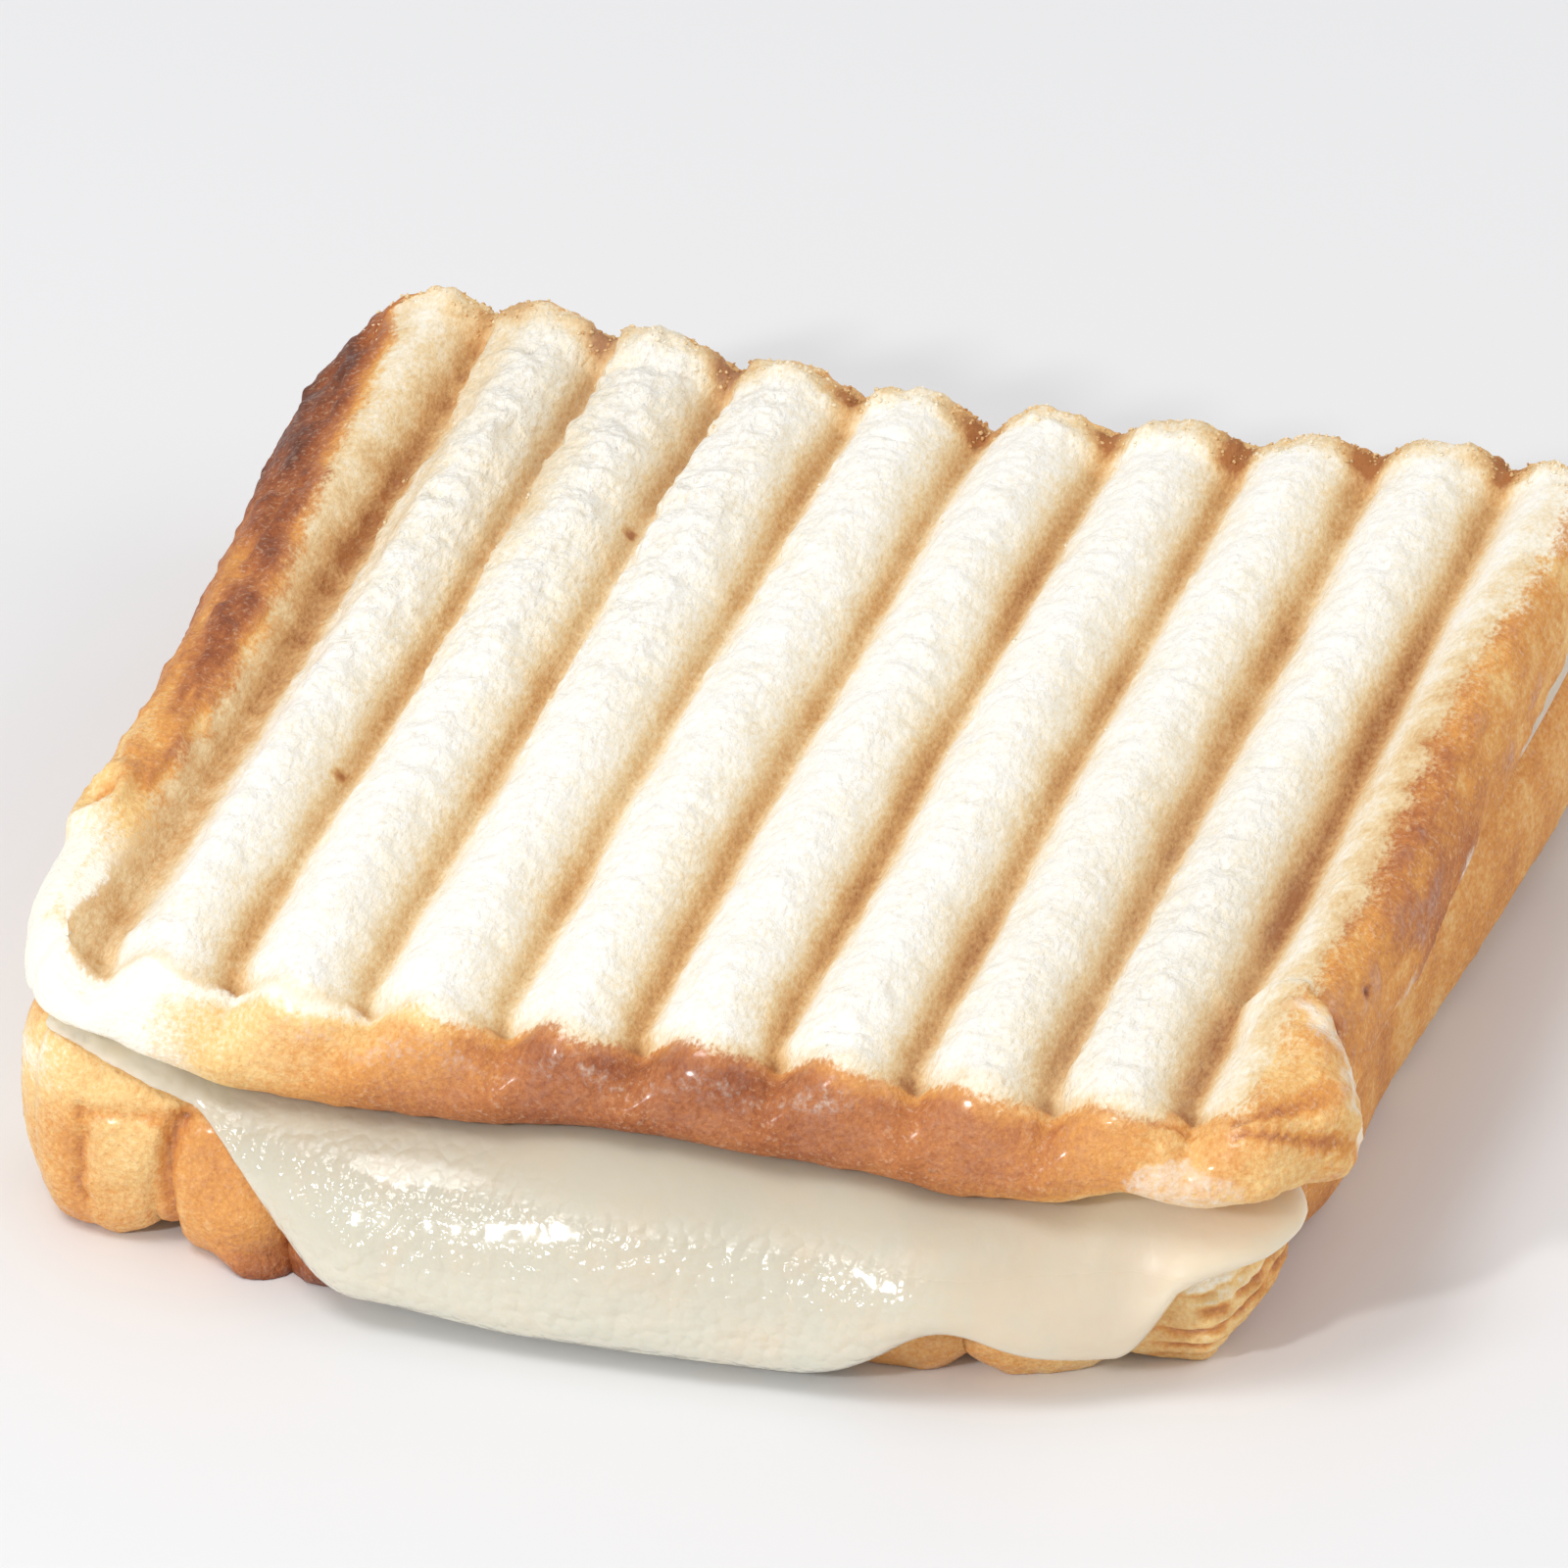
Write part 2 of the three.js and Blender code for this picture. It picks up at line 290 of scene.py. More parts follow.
def printed_top(x, y):
    """Ribs on a valley floor that sinks at the back, dips at the front edge and ends in a rim behind."""
    pattern = print_pattern(x, y)
    end = 1 - 0.16 * smooth(44, 56, np.abs(y))
    side = 1 - 0.22 * smooth(50, 55, np.abs(x))
    sink = 1.4 * bell((x - 4) / 30) * smooth(25, 56, y)
    dip = 1.5 * (1 - pattern) * smooth(4, 0, y - UPPER_OUTLINE["front"](x)) * (1 - smooth(40, 48, x))
    rim = smooth(4.5, 0, UPPER_OUTLINE["back"](x) - y) * crushed_rim(x)
    return VALLEY_TOP + RIB_HEIGHT * end * side * pattern + 0.5 * wobble(x, y, 1) - sink - dip + rim


def seam_top(x, y):
    """The underside of the upper slice: one wobbly height, raised at its two corners and by the cheese."""
    return SEAM_TOP + 0.35 * wobble(x, y, 2) + 3.4 * curl(x, y) + 4.0 * flap(x, y) + front_lift(x, y)


def seam_low(x, y):
    """The upper face of the lower slice: a layer of cheese lower, and raised most at the left corner."""
    return SEAM_TOP - CHEESE_LAYER + 0.35 * wobble(x, y, 2) + 5.6 * curl(x, y) + 1.2 * flap(x, y)


def printed_underside(x, y):
    """Flat ribs that rest on the floor below the upper valleys, and valleys between them."""
    rest = np.clip(1.25 * np.abs(np.cos(np.pi * x / RIB_PITCH)), 0, 1) ** 0.8
    return UNDER_PRINT * (1 - rest)


print("the sandwich is", round(float(printed_top(6.0, 0.0)), 1), "mm thick at a rib")

# %% [markdown]
# Each slice is a shell with a dense grid over its printed face, a wall of closed rings that rolls round its
# crust, and more rings that shrink to a point on the hidden face against the cheese. One function builds
# the faces for both slices from the numbers of the grid, so that every edge is shared and the mesh is
# closed.

# %% Building closed shells


def rim_path(counts):
    """u and v round the square from its front left corner, with its own number of steps on each side."""
    steps = [np.linspace(-1, 1, count + 1)[:-1] for count in counts]
    ones = [np.ones_like(step) for step in steps]
    u = np.concatenate([steps[0], ones[1], -steps[2], -ones[3]])
    v = np.concatenate([-ones[0], steps[1], ones[2], -steps[3]])
    return u, v


def rim_numbers(n):
    """The rim's numbers in a grid of n by n points, where number = row of v times n, plus column of u."""
    i = np.arange(n - 1)
    last = n - 1
    return np.concatenate([i, i * n + last, last * n + last - i, (last - i) * n])


def wrap_quads(rings):
    """Quads between each ring of numbers and the next, the last point of a ring joining its first."""
    here, below = rings[:-1], rings[1:]
    quads = np.stack([below, np.roll(below, -1, 1), np.roll(here, -1, 1), here], -1)
    return quads.reshape(-1, 4)


def shell_faces(n, ring_count):
    """Quads of the grid and of the rings, and the triangles that close the last ring to one point."""
    column, row = np.meshgrid(np.arange(n - 1), np.arange(n - 1))
    corner = (row * n + column).ravel()
    grid = np.stack([corner, corner + 1, corner + n + 1, corner + n], -1)
    around = 4 * (n - 1)
    rings = n * n + np.arange(ring_count * around).reshape(ring_count, around)
    rings = np.vstack([rim_numbers(n), rings])
    last = rings[-1]
    point = np.full(around, n * n + ring_count * around)
    return np.concatenate([grid, wrap_quads(rings)]), np.stack([point, np.roll(last, -1), last], -1)


def normals(points, quads, triangles):
    """Unit normals at the points: the sum of the cross products of the faces that meet there."""
    total = np.zeros_like(points)
    p = points[quads]
    across = np.cross(p[:, 2] - p[:, 0], p[:, 3] - p[:, 1])
    t = points[triangles]
    closing = np.cross(t[:, 1] - t[:, 0], t[:, 2] - t[:, 0])
    for corners, push in ((quads, across), (triangles, closing)):
        for k in range(corners.shape[1]):
            for axis in range(3):
                total[:, axis] += np.bincount(corners[:, k], push[:, axis], len(points))
    return total / np.maximum(np.linalg.norm(total, axis=1, keepdims=True), 1e-12)


def add_object(name, data):
    """An object that shows the mesh, lamp or camera."""
    made = bpy.data.objects.new(name, data)
    bpy.context.scene.collection.objects.link(made)
    return made


def make_piece(name, points, quads, triangles, painted, finish, node=None):
    """Puts points in millimetres into a smooth mesh in metres, with one attribute for each painted value."""
    mesh = bpy.data.meshes.new(name)
    mesh.vertices.add(len(points))
    mesh.vertices.foreach_set("co", (points * MM).astype(np.float32).ravel())
    corners = np.concatenate([quads.ravel(), triangles.ravel()]).astype(np.int32)
    mesh.loops.add(len(corners))
    mesh.loops.foreach_set("vertex_index", corners)
    starts = np.concatenate([4 * np.arange(len(quads)), 4 * len(quads) + 3 * np.arange(len(triangles))])
    mesh.polygons.add(len(starts))
    mesh.polygons.foreach_set("loop_start", starts.astype(np.int32))
    mesh.polygons.foreach_set("use_smooth", np.ones(len(starts), bool))
    mesh.update(calc_edges=True)
    for label, values in painted.items():
        layer = mesh.attributes.new(label, "FLOAT", "POINT")
        layer.data.foreach_set("value", np.broadcast_to(values, len(points)).astype(np.float32))
    mesh.materials.append(finish)
    piece = add_object(name, mesh)
    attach(piece, "root")
    if node:
        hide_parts(node)
    size = points.max(0) - points.min(0)
    print(name, "has", 2 * len(quads) + len(triangles), "triangles and is", np.round(size, 1), "mm")


print("a grid of 4 by 4 points has", len(shell_faces(4, 2)[0]), "quads with two rings")

# %% [markdown]
# A slice is worked out from u, v and a third number w, which is 1 on its upper face and -1 on its underside.
# On the rim, w rolls the wall outwards and round. The roll starts at the height of the print, so each valley
# ends in a notch in the crust.

# %% The two slices as functions of u, v and w


def upper_point(u, v, w, on_rim):
    """The upper slice. On the rim, w rolls the wall round the crust from the printed top to the seam."""
    x, y = plan(u, v, UPPER_OUTLINE)
    nx, ny = outward(u, v)
    high = printed_top(x, y)
    low = seam_top(x, y)
    belly = low + 0.45 * (VALLEY_TOP - low)
    slope = smooth(-50, -56, x) * smooth(0, 45, y)
    out, up = rounded(w, 2.3 - 0.9 * slope * (w > 0))
    z = between(low, belly, high, up)
    notch = 1 - 0.22 * (1 - print_pattern(x, y)) * np.clip(up, 0, 1) * np.clip(-ny, 0, 1)
    reach = CRUST_ROLL * (1 + 0.12 * wobble(x, y, 3)) * notch + 0.8 * slope
    reach = reach + 1.2 * flap(x, y) + 2.6 * np.clip(nx, 0, 1) * tongue(x, y)
    out = np.where(on_rim, out * reach, 0)
    return np.stack([x + nx * out, y + ny * out, z], -1)


def crust_reach(x, y, up):
    """How far the lower slice's crust rolls out: more at the pleated corner, but not at its two faces."""
    pleats = 2.0 * fan(x, y) * smooth(-0.9, -0.1, up) * smooth(1, 0.5, up)
    return CRUST_ROLL * (1 + 0.12 * wobble(x, y, 5)) + pleats


def lower_point(u, v, w, on_rim):
    """The lower slice. Its crust bulges at half its height, with a crease at each valley underneath."""
    x, y = plan(u, v, LOWER_OUTLINE)
    nx, ny = outward(u, v)
    high = seam_low(x, y)
    low = printed_underside(x, y)
    belly = high / 2
    out, up = rounded(w, 2.6)
    z = between(low, belly, high, up)
    crease = (low / UNDER_PRINT) ** 2 * smooth(0.5, -0.6, up) * smooth(40, 50, np.abs(y))
    out = np.where(on_rim, out * (crust_reach(x, y, up) - 0.9 * crease), 0)
    return np.stack([x + nx * out, y + ny * out, z], -1)


def slice_shell(point, side_rows, n, face_w):
    """A whole slice: a face grid of n by n points, its rim rows, and the rings that close the other face."""
    line = np.linspace(-1, 1, n)
    grid_u, grid_v = [a.ravel() for a in np.meshgrid(line, line)]
    rim_u, rim_v = rim_path([n - 1] * 4)
    rows = face_w * np.linspace(1, -1, side_rows + 1)[1:]
    shrink = np.array([0.97, 0.88, 0.65, 0.35])
    u = np.concatenate([grid_u, np.tile(rim_u, len(rows)), np.outer(shrink, rim_u).ravel(), [0]])
    v = np.concatenate([grid_v, np.tile(rim_v, len(rows)), np.outer(shrink, rim_v).ravel(), [0]])
    closing = np.full(len(shrink) * len(rim_u) + 1, -face_w)
    w = np.concatenate([np.full(n * n, face_w), np.repeat(rows, len(rim_u)), closing])
    on_rim = np.maximum(np.abs(u), np.abs(v)) > 1 - 1e-9
    quads, triangles = shell_faces(n, len(rows) + len(shrink))
    if face_w < 0:
        quads, triangles = quads[:, ::-1], triangles[:, ::-1]
    return point(u, v, w, on_rim), u, v, w, on_rim, quads, triangles


UPPER = slice_shell(upper_point, side_rows=28, n=256, face_w=1.0)
LOWER = slice_shell(lower_point, side_rows=46, n=228, face_w=-1.0)
print("upper slice:", len(UPPER[0]), "points; lower slice:", len(LOWER[0]), "points")

# %% [markdown]
# Shader maths is easier to read as arithmetic than as a tangle of nodes. A Value wraps one socket, and adding
# or multiplying values adds the Math nodes. A Finish is one material that is being built. Its method node
# makes a node from its type, its settings and what goes into its sockets, and the other methods are short
# ways to call it.

# %% Writing materials as arithmetic


def arithmetic(operation, swapped=False):
    """The method that joins a value and another one, or a number, by a Math node."""
    def method(self, other):
        pair = [other, self] if swapped else [self, other]
        return self.finish.node("ShaderNodeMath", {"operation": operation}, pair)
    return method


class Value:
    """One output socket of a material, with + - * and a smooth step."""

    __add__, __radd__ = arithmetic("ADD"), arithmetic("ADD", True)
    __sub__, __rsub__ = arithmetic("SUBTRACT"), arithmetic("SUBTRACT", True)
    __mul__, __rmul__ = arithmetic("MULTIPLY"), arithmetic("MULTIPLY", True)

    def __init__(self, finish, socket):
        self.finish = finish
        self.socket = socket

    def step(self, start, end):
        """0 before start, 1 after end, smooth between."""
        inputs = {"Value": self, "From Min": start, "From Max": end}
        return self.finish.node("ShaderNodeMapRange", {"interpolation_type": "SMOOTHSTEP"}, inputs)


class Finish:
    """One material that is being built from nodes. Its place is the object's own coordinates."""

    def __init__(self, name):
        self.material = bpy.data.materials.new(name)
        self.material.use_nodes = True
        self.tree = self.material.node_tree
        self.tree.nodes.clear()
        self.place = self.node("ShaderNodeTexCoord", output="Object")

    def node(self, kind, settings=None, inputs=None, output=0):
        """Makes a node: first its settings or a ramp's stops, then the values or links of its sockets."""
        made = self.tree.nodes.new(kind)
        for key, value in (settings or {}).items():
            if key == "stops":
                for _ in range(len(value) - 2):
                    made.color_ramp.elements.new(0.5)
                for element, (position, colour) in zip(made.color_ramp.elements, value):
                    element.position = position
                    element.color = colour
            else:
                setattr(made, key, value)
        pairs = inputs.items() if isinstance(inputs, dict) else enumerate(inputs or [])
        for key, value in pairs:
            if isinstance(value, Value):
                self.tree.links.new(value.socket, made.inputs[key])
            else:
                made.inputs[key].default_value = value
        return Value(self, made.outputs[output])

    def painted(self, label):
        """A value painted on the points of the piece."""
        return self.node("ShaderNodeAttribute", {"attribute_name": label}, output="Fac")

    def texture(self, kind, size, stretch, settings=None, output=0, **sockets):
        """A texture with features of the size in millimetres, drawn out where stretch is below 1."""
        place = self.node("ShaderNodeMapping", inputs={"Vector": self.place, "Scale": stretch})
        return self.node(kind, settings, {"Vector": place, "Scale": 1 / (size * MM), **sockets}, output)

    def noise(self, size, detail=2.0, rough=0.5, stretch=(1, 1, 1)):
        """Noise from 0 to 1 around 0.5."""
        return self.texture("ShaderNodeTexNoise", size, stretch, Detail=detail, Roughness=rough)

    def puffs(self, size, stretch=(1, 1, 1)):
        """Round puffs: 0 in the creases between them, up to 1 on a puff."""
        settings = {"feature": "SMOOTH_F1"}
        return 1 - self.texture("ShaderNodeTexVoronoi", size, stretch, settings, "Distance", Smoothness=0.35)

    def ramp(self, value, stops):
        """Turns a value into a colour."""
        return self.node("ShaderNodeValToRGB", {"stops": stops}, [value])

    def blend(self, share, first, second):
        """The first colour where share is 0, the second where it is 1."""
        return self.node("ShaderNodeMix", {"data_type": "RGBA"}, {0: share, 6: first, 7: second}, output=2)

    def bump(self, height):
        """Tilts the surface as if it rose by the height, given in millimetres."""
        return self.node("ShaderNodeBump", inputs={"Height": height, "Distance": MM, "Strength": 1.0})

    def surface(self, **sockets):
        """Ends the material with a Principled surface."""
        inputs = {key.replace("_", " "): value for key, value in sockets.items()}
        shader = self.node("ShaderNodeBsdfPrincipled", inputs=inputs)
        ending = self.tree.nodes.new("ShaderNodeOutputMaterial")
        self.tree.links.new(shader.socket, ending.inputs["Surface"])
        return self.material


def shade(red, green, blue):
    """A colour given as it looks on a screen, 0 to 255, turned into the light values that Blender mixes."""
    parts = [c / 255 for c in (red, green, blue)]
    return tuple(c / 12.92 if c <= 0.04045 else ((c + 0.055) / 1.055) ** 2.4 for c in parts) + (1.0,)


print("middle grey is", round(shade(128, 128, 128)[0], 3), "of the light")

# %% [markdown]
# Toasted bread is one material with two looks. Crumb is pale, dry and puffy, and browns through yellow to
# golden where the plate touched it. Crust is a tight skin that goes from cream through orange to dark
# brown. It has a greasy shine that breaks up on its fine bumps, and pale grains like sand where it is matte.
# Painted values steer them: how much it is crust, how toasted the crumb is, how baked the crust is, how it
# shines, where a pale skin has torn or a highlight is painted as pale specks, where it is charred, how open
# the crumb is, and where shade is painted on the crumb. The creases of the crumb get painted shade too.
# Noise shifts them, as browning follows every little bump.

# %% Toasted bread
CRUMB_STOPS = [
    (0.0, shade(250, 247, 240)),
    (0.2, shade(245, 235, 213)),
    (0.45, shade(233, 206, 160)),
    (0.7, shade(212, 167, 111)),
    (1.0, shade(168, 108, 60)),
]
CRUST_STOPS = [
    (0.0, shade(254, 249, 232)),
    (0.2, shade(244, 206, 138)),
    (0.4, shade(223, 155, 80)),
    (0.6, shade(189, 118, 66)),
    (0.8, shade(150, 81, 42)),
    (1.0, shade(106, 56, 34)),
]
BREAD_LABELS = ("crust", "toast", "bake", "gloss", "pale", "char", "dull", "open")
LONG = (1, 0.55, 1)


def bread_paint(**values):
    """The painted values of a piece of bread, 0 for each label that isn't given."""
    return {label: values.get(label, 0) for label in BREAD_LABELS}


def toasted_bread(name):
    """Crumb and crust, mixed by the painted values. Noise along the ribs is drawn LONG."""
    bread = Finish(name)
    grain = bread.noise(0.4, 2.0, 0.6, LONG)
    fluff = bread.noise(0.7, 2.0, 0.6, LONG)
    mottle = bread.noise(3.0, 3.0, 0.6, LONG)
    drift = bread.noise(9.0, 2.0, 0.5)
    leather = bread.noise(0.5, 3.0, 0.6)
    specks = bread.noise(0.8, 2.0, 0.6)
    open_crumb = bread.painted("open")
    skin = (bread.painted("crust") + (grain - 0.5) * 0.9 + (mottle - 0.5) * 0.4).step(0.25, 0.75)
    gloss = bread.painted("gloss")
    toast = bread.painted("toast") + (grain - 0.5) * 0.5 + (mottle - 0.5) * 0.3
    bake = bread.painted("bake") + (grain - 0.5) * 0.3 + (fluff - 0.5) * 0.2 + (drift - 0.5) * 0.2
    cotton = bread.puffs(0.8, LONG) * 0.3 + (fluff - 0.5) * 0.5
    crumb_height = cotton * (0.3 + 0.5 * open_crumb) + (grain - 0.5) * 0.12
    # Painted shade: the creases between the crumb's puffs darken, more where the crumb is open.
    pit_shade = cotton.step(0.14, 0.02) * (0.04 + open_crumb * 0.24) * (1 - skin)
    colour = bread.blend(skin, bread.ramp(toast, CRUMB_STOPS), bread.ramp(bake, CRUST_STOPS))
    # Painted shade: the crumb greys towards beige where shade is painted on its points and in its creases.
    colour = bread.blend(bread.painted("dull") + pit_shade, colour, shade(212, 199, 176))
    sand = leather.step(0.54, 0.66) * skin * (1 - gloss) * 0.26
    colour = bread.blend(sand, colour, shade(246, 218, 186))
    # Pale torn skin, and a highlight painted as pale specks, both blend the colour towards a warm white.
    pale = (bread.painted("pale") + (grain - 0.5) * 0.4 + (specks - 0.5) * 0.5).step(0.25, 0.8)
    colour = bread.blend(pale, colour, shade(245, 233, 214))
    char = (bread.painted("char") + (grain - 0.5) * 0.3).step(0.35, 0.65)
    colour = bread.blend(char, colour, shade(66, 46, 38))
    crust_height = (leather - 0.5) * 0.14 + (specks - 0.5) * 0.24
    normal = bread.bump(crumb_height * (1 - skin) + crust_height * skin)
    shine = skin * gloss
    coat = shine * (specks.step(0.4, 0.6) * 0.85 + 0.15)
    roughness = 0.86 - shine * 0.36
    return bread.surface(Base_Color=colour, Roughness=roughness, Normal=normal, Coat_Weight=coat,
                         Coat_Roughness=0.18, Specular_IOR_Level=0.4)


BREAD = toasted_bread("toasted_bread")
print("bread uses", len(BREAD.node_tree.nodes), "nodes")

# %% [markdown]
# Melted cheese lets light in, scatters it and gives it back softened, so it needs subsurface scattering.
# Its skin is wet fat, smooth and very shiny, with a fine grain of round rises. Each rise catches the lamp
# by itself, and the highlight breaks up into a cluster of sparks. Painted values say where the skin is
# grainy, where it is dull like satin and where it is warmer in colour, and they paint shade on the sheet,
# most where it lies under the upper slice's crust.

# %% Melted cheese


def melted_cheese(name):
    """Off-white, scattering, with a shiny skin over fine grains."""
    cheese = Finish(name)
    gap = 1 - cheese.puffs(1.1)
    grain = 1 - gap * gap
    peel = cheese.noise(0.7, 1.0, 0.4)
    streaks = cheese.noise(2.2, 3.0, 0.6, (1, 1, 0.35))
    mottle = cheese.noise(7.0, 3.0, 0.6)
    stops = [(0.3, shade(216, 214, 197)), (0.5, shade(221, 216, 198)), (0.75, shade(228, 213, 189))]
    colour = cheese.ramp(mottle * 0.7 + streaks * 0.3 + cheese.painted("warm") * 0.3, stops)
    # Painted shade darkens the colour towards a grey brown.
    colour = cheese.blend(cheese.painted("deep"), colour, shade(178, 166, 144))
    grainy = cheese.painted("grainy")
    height = (grain * 0.24 + peel * 0.12) * grainy + streaks * 0.05
    normal = cheese.bump(height)
    satin = cheese.painted("satin")
    roughness = 0.08 + streaks * 0.1 + satin * 0.5
    coat = grainy * (1 - satin) * 0.8
    return cheese.surface(Base_Color=colour, Roughness=roughness, Normal=normal, Coat_Weight=coat,
                          Coat_Roughness=0.08, Subsurface_Weight=0.6, Subsurface_Scale=0.004,
                          Subsurface_Radius=(1.0, 0.85, 0.6))


CHEESE = melted_cheese("melted_cheese")
print("cheese uses", len(CHEESE.node_tree.nodes), "nodes")

# %% [markdown]
# The upper slice gets its crumb now. Everything that stands out or sinks in by up to a millimetre or two is
# worked out as one number at each point, the relief, and the points then move along their normals. The same
# masks that place the relief also paint the browning.

# %% Masks on the upper slice


def edge_distance(x, y, outline):
    """How far inside the nearest edge of the outline a point is, in millimetres."""
    gaps = (x - outline["left"](y), outline["right"](y) - x, y - outline["front"](x), outline["back"](x) - y)
    return np.minimum.reduce(gaps)


def past_valley(x):
    """How far right of the nearest valley of the print a place is, from minus to plus half a pitch."""
    return (x + RIB_PITCH / 2) % RIB_PITCH - RIB_PITCH / 2


def sides(u, v):
    """Shares of the left, right, front and back sides, which add up to 1."""
    nx, ny = outward(u, v)
    return [np.clip(s, 0, 1) ** 2 for s in (-nx, nx, -ny, ny)]


def along(x, pairs):
    """A value that follows x in straight lines through a few (place, value) pairs."""
    places, values = zip(*pairs)
    return np.interp(x, places, values)


def line_distance(points, path):
    """Distance in millimetres from each point to a line of straight stretches."""
    nearest = np.full(len(points), 1e9)
    for start, end in zip(path[:-1], path[1:]):
        way = np.subtract(end, start)
        share = np.clip((points - start) @ way / (way @ way), 0, 1)
        nearest = np.minimum(nearest, np.linalg.norm(points - start - share[:, None] * way, axis=1))
    return nearest


def lines(points, marks):
    """1 on each line, fading out over its own width. A mark is a width and then the places of its line."""
    return np.maximum.reduce([bell(line_distance(points, path) / width) for width, *path in marks])


UPPER_ROUND = 9.0
LOWER_ROUND = 14.0

base, u, v, w, on_rim, quads, triangles = UPPER
x, y, z = base.T
left, right, front, back = sides(u, v)
roll = np.where(on_rim, (1 - w) / 2, 0)
inside = np.where(on_rim | (w < 0), 0, edge_distance(x, y, UPPER_OUTLINE))
around = UPPER_ROUND * roll - inside
past = past_valley(x - turn_off(y) + 0.2)
crest = print_pattern(x, y)
soft = lumps(x, y, z, 1.6, 3)
crumbly = cloud(x, y, z, 2.4, 3, 5)
turn = 2 * math.pi * past / RIB_PITCH
scallop = -(0.9 * np.cos(turn) + 0.45 * np.sin(turn)) * smooth(-44, -38, x) - 0.5 * bell((x - 5) / 13)
left_start = -2.6 - 1.6 * bell((y + 2) / 17) - 1.4 * smooth(24, 44, y) - 1.2 * bell((y - 20) / 11)
right_start = 0.9 * smooth(20, 42, y) - 0.3
crust_start = left_start * left + (scallop + 0.5) * front + 0.9 * back + right_start * right
ragged = 0.35 * front + 0.9 * (1 - front)
fade = 1.2 + 0.8 * left + 1.0 * right
crust = smooth(-fade, fade, around - crust_start + ragged * crumbly)
printed = (1 - crust) * smooth(49.5, 47.5, np.abs(x))
print("crust covers", round(float(crust.mean()) * 100), "% of the points")

# %% [markdown]
# The torn corner tells its own story. The upper skin tore along a slanted line and sticks out over the
# crust behind it, with a pale, frayed edge. From the end of the last valley its crust fans out in folds,
# each with a brown line in its trough.

# %% The torn corner and the folds
TEAR_START = (53.7, -35.1)
ACROSS_TEAR = (0.782, 0.624)
PIVOT = (51.3, -54.7, 24.5)

corner_zone = smooth(43, 47, x) * smooth(-33, -36, y) * (w > -0.6)
beyond_tear = (x - TEAR_START[0]) * ACROSS_TEAR[0] + (y - TEAR_START[1]) * ACROSS_TEAR[1]
beyond_tear = beyond_tear + 0.9 * crumbly + 0.5 * soft
peeled = smooth(0.35, -0.35, beyond_tear) * corner_zone
stands_out = peeled * smooth(-9, -1, beyond_tear)
frayed = bell((beyond_tear + 1.6) / 2.2) * corner_zone * smooth(-36, -40, y) * smooth(-0.6, 0.1, crumbly)
shadow_line = bell((beyond_tear - 0.7) / 0.8) * corner_zone * smooth(-36, -39, y)
fold_up = (y - PIVOT[1]) + (z - PIVOT[2])
fold_turn = np.arctan2(fold_up, x - PIVOT[0])
fold_far = np.hypot(fold_up, x - PIVOT[0])
right_folds = smooth(0.05, 0.3, fold_turn) * smooth(1.35, 1.1, fold_turn) * smooth(13, 9, fold_far)
left_folds = smooth(0.35, 0.1, np.abs(np.abs(fold_turn) - 3.2)) * smooth(15, 9, fold_far)
folds = (corner_zone * right_folds + 0.8 * left_folds * front * smooth(36, 40, x)) * smooth(1, 2.5, fold_far)
fold_wave = np.sin(12 * fold_turn + 1.5 * lumps(x, y, z, 7.0, 9))
print("the tear runs over", int((np.abs(beyond_tear) * corner_zone < 0.4).sum()), "points")

# %% [markdown]
# The press browned each valley most, in uneven patches and a little more widely towards the right, and
# hardly touched the crests. The flat bands outside the last valleys are toasted evenly: beige on the left,
# yellow on the right. A few small spots of the crumb burnt brown.

# %% Toast on the upper slice
VALLEY_TOAST = [(-48, 0.52), (-36, 0.44), (-24, 0.38), (-12, 0.42), (0, 0.42), (12, 0.5), (24, 0.54),
                (36, 0.46), (48, 0.62)]
LEFT_BAND = [(-50, 0.6), (-44, 0.6), (-20, 0.66), (0, 0.7), (10, 0.66), (20, 0.6), (30, 0.52), (46, 0.42)]
RIGHT_BAND = [(-50, 0.24), (-20, 0.34), (0, 0.4), (20, 0.32), (40, 0.14)]
BROWN_SPOTS = [
    (0.5, (-52.2, 10.6, 26.6), (-52.4, 13.4, 26.6)),
    (0.5, (-37.0, -20.3, 26.0), (-37.0, -19.8, 26.0)),
    (0.4, (-35.8, -51.8, 25.6), (-35.8, -51.4, 25.6)),
    (0.6, (9.3, -13.0, 29.0), (9.9, -12.6, 29.0)),
    (0.5, (-24.8, 25.6, 26.0), (-24.8, 26.0, 26.0)),
    (0.5, (-52.0, 17.4, 26.5), (-52.0, 18.4, 26.5)),
]

browned = smooth(-0.6, 0.5, cloud(x, 0.35 * y, 0 * z, 5.0, 3, 8))
spread = 1 + 0.3 * smooth(10, 50, x) + 0.3 * (browned - 0.5)
core = along(x, VALLEY_TOAST) * (0.8 + 0.4 * browned)
toast = core * bell((past + 0.3) / (1.15 * spread)) + 0.26 * bell((past + 0.9) / (2.8 * spread))
toast += 0.05 * crumbly
toast += 0.3 * bell((x + 44.6) / 1.8) * (0.3 + 0.7 * smooth(-5, 20, y)) * (w > 0)
toast += 0.3 * bell((x + 33.2) / 1.8) * bell((y - 25) / 16) * (w > 0)
toast += 0.3 * smooth(-3.0, 0.5, around + 1.4 * crumbly) * back * (1 + 1.1 * (1 - crest))
toast += 0.34 * smooth(-2.6, 0.8, around - crust_start + 0.6 * soft) * front
toast += 0.8 * lines(base, BROWN_SPOTS)
left_band = smooth(-45.4, -47.6, x)
left_toast = along(y, LEFT_BAND) + 0.2 * crumbly + (0.1 + 0.3 * smooth(0, 20, y)) * bell((x + 48.3) / 1.2)
left_toast -= 0.14 * bell((x + 50.4 + 0.05 * y) / 1.3)
toast = toast * (1 - left_band) + left_toast * left_band
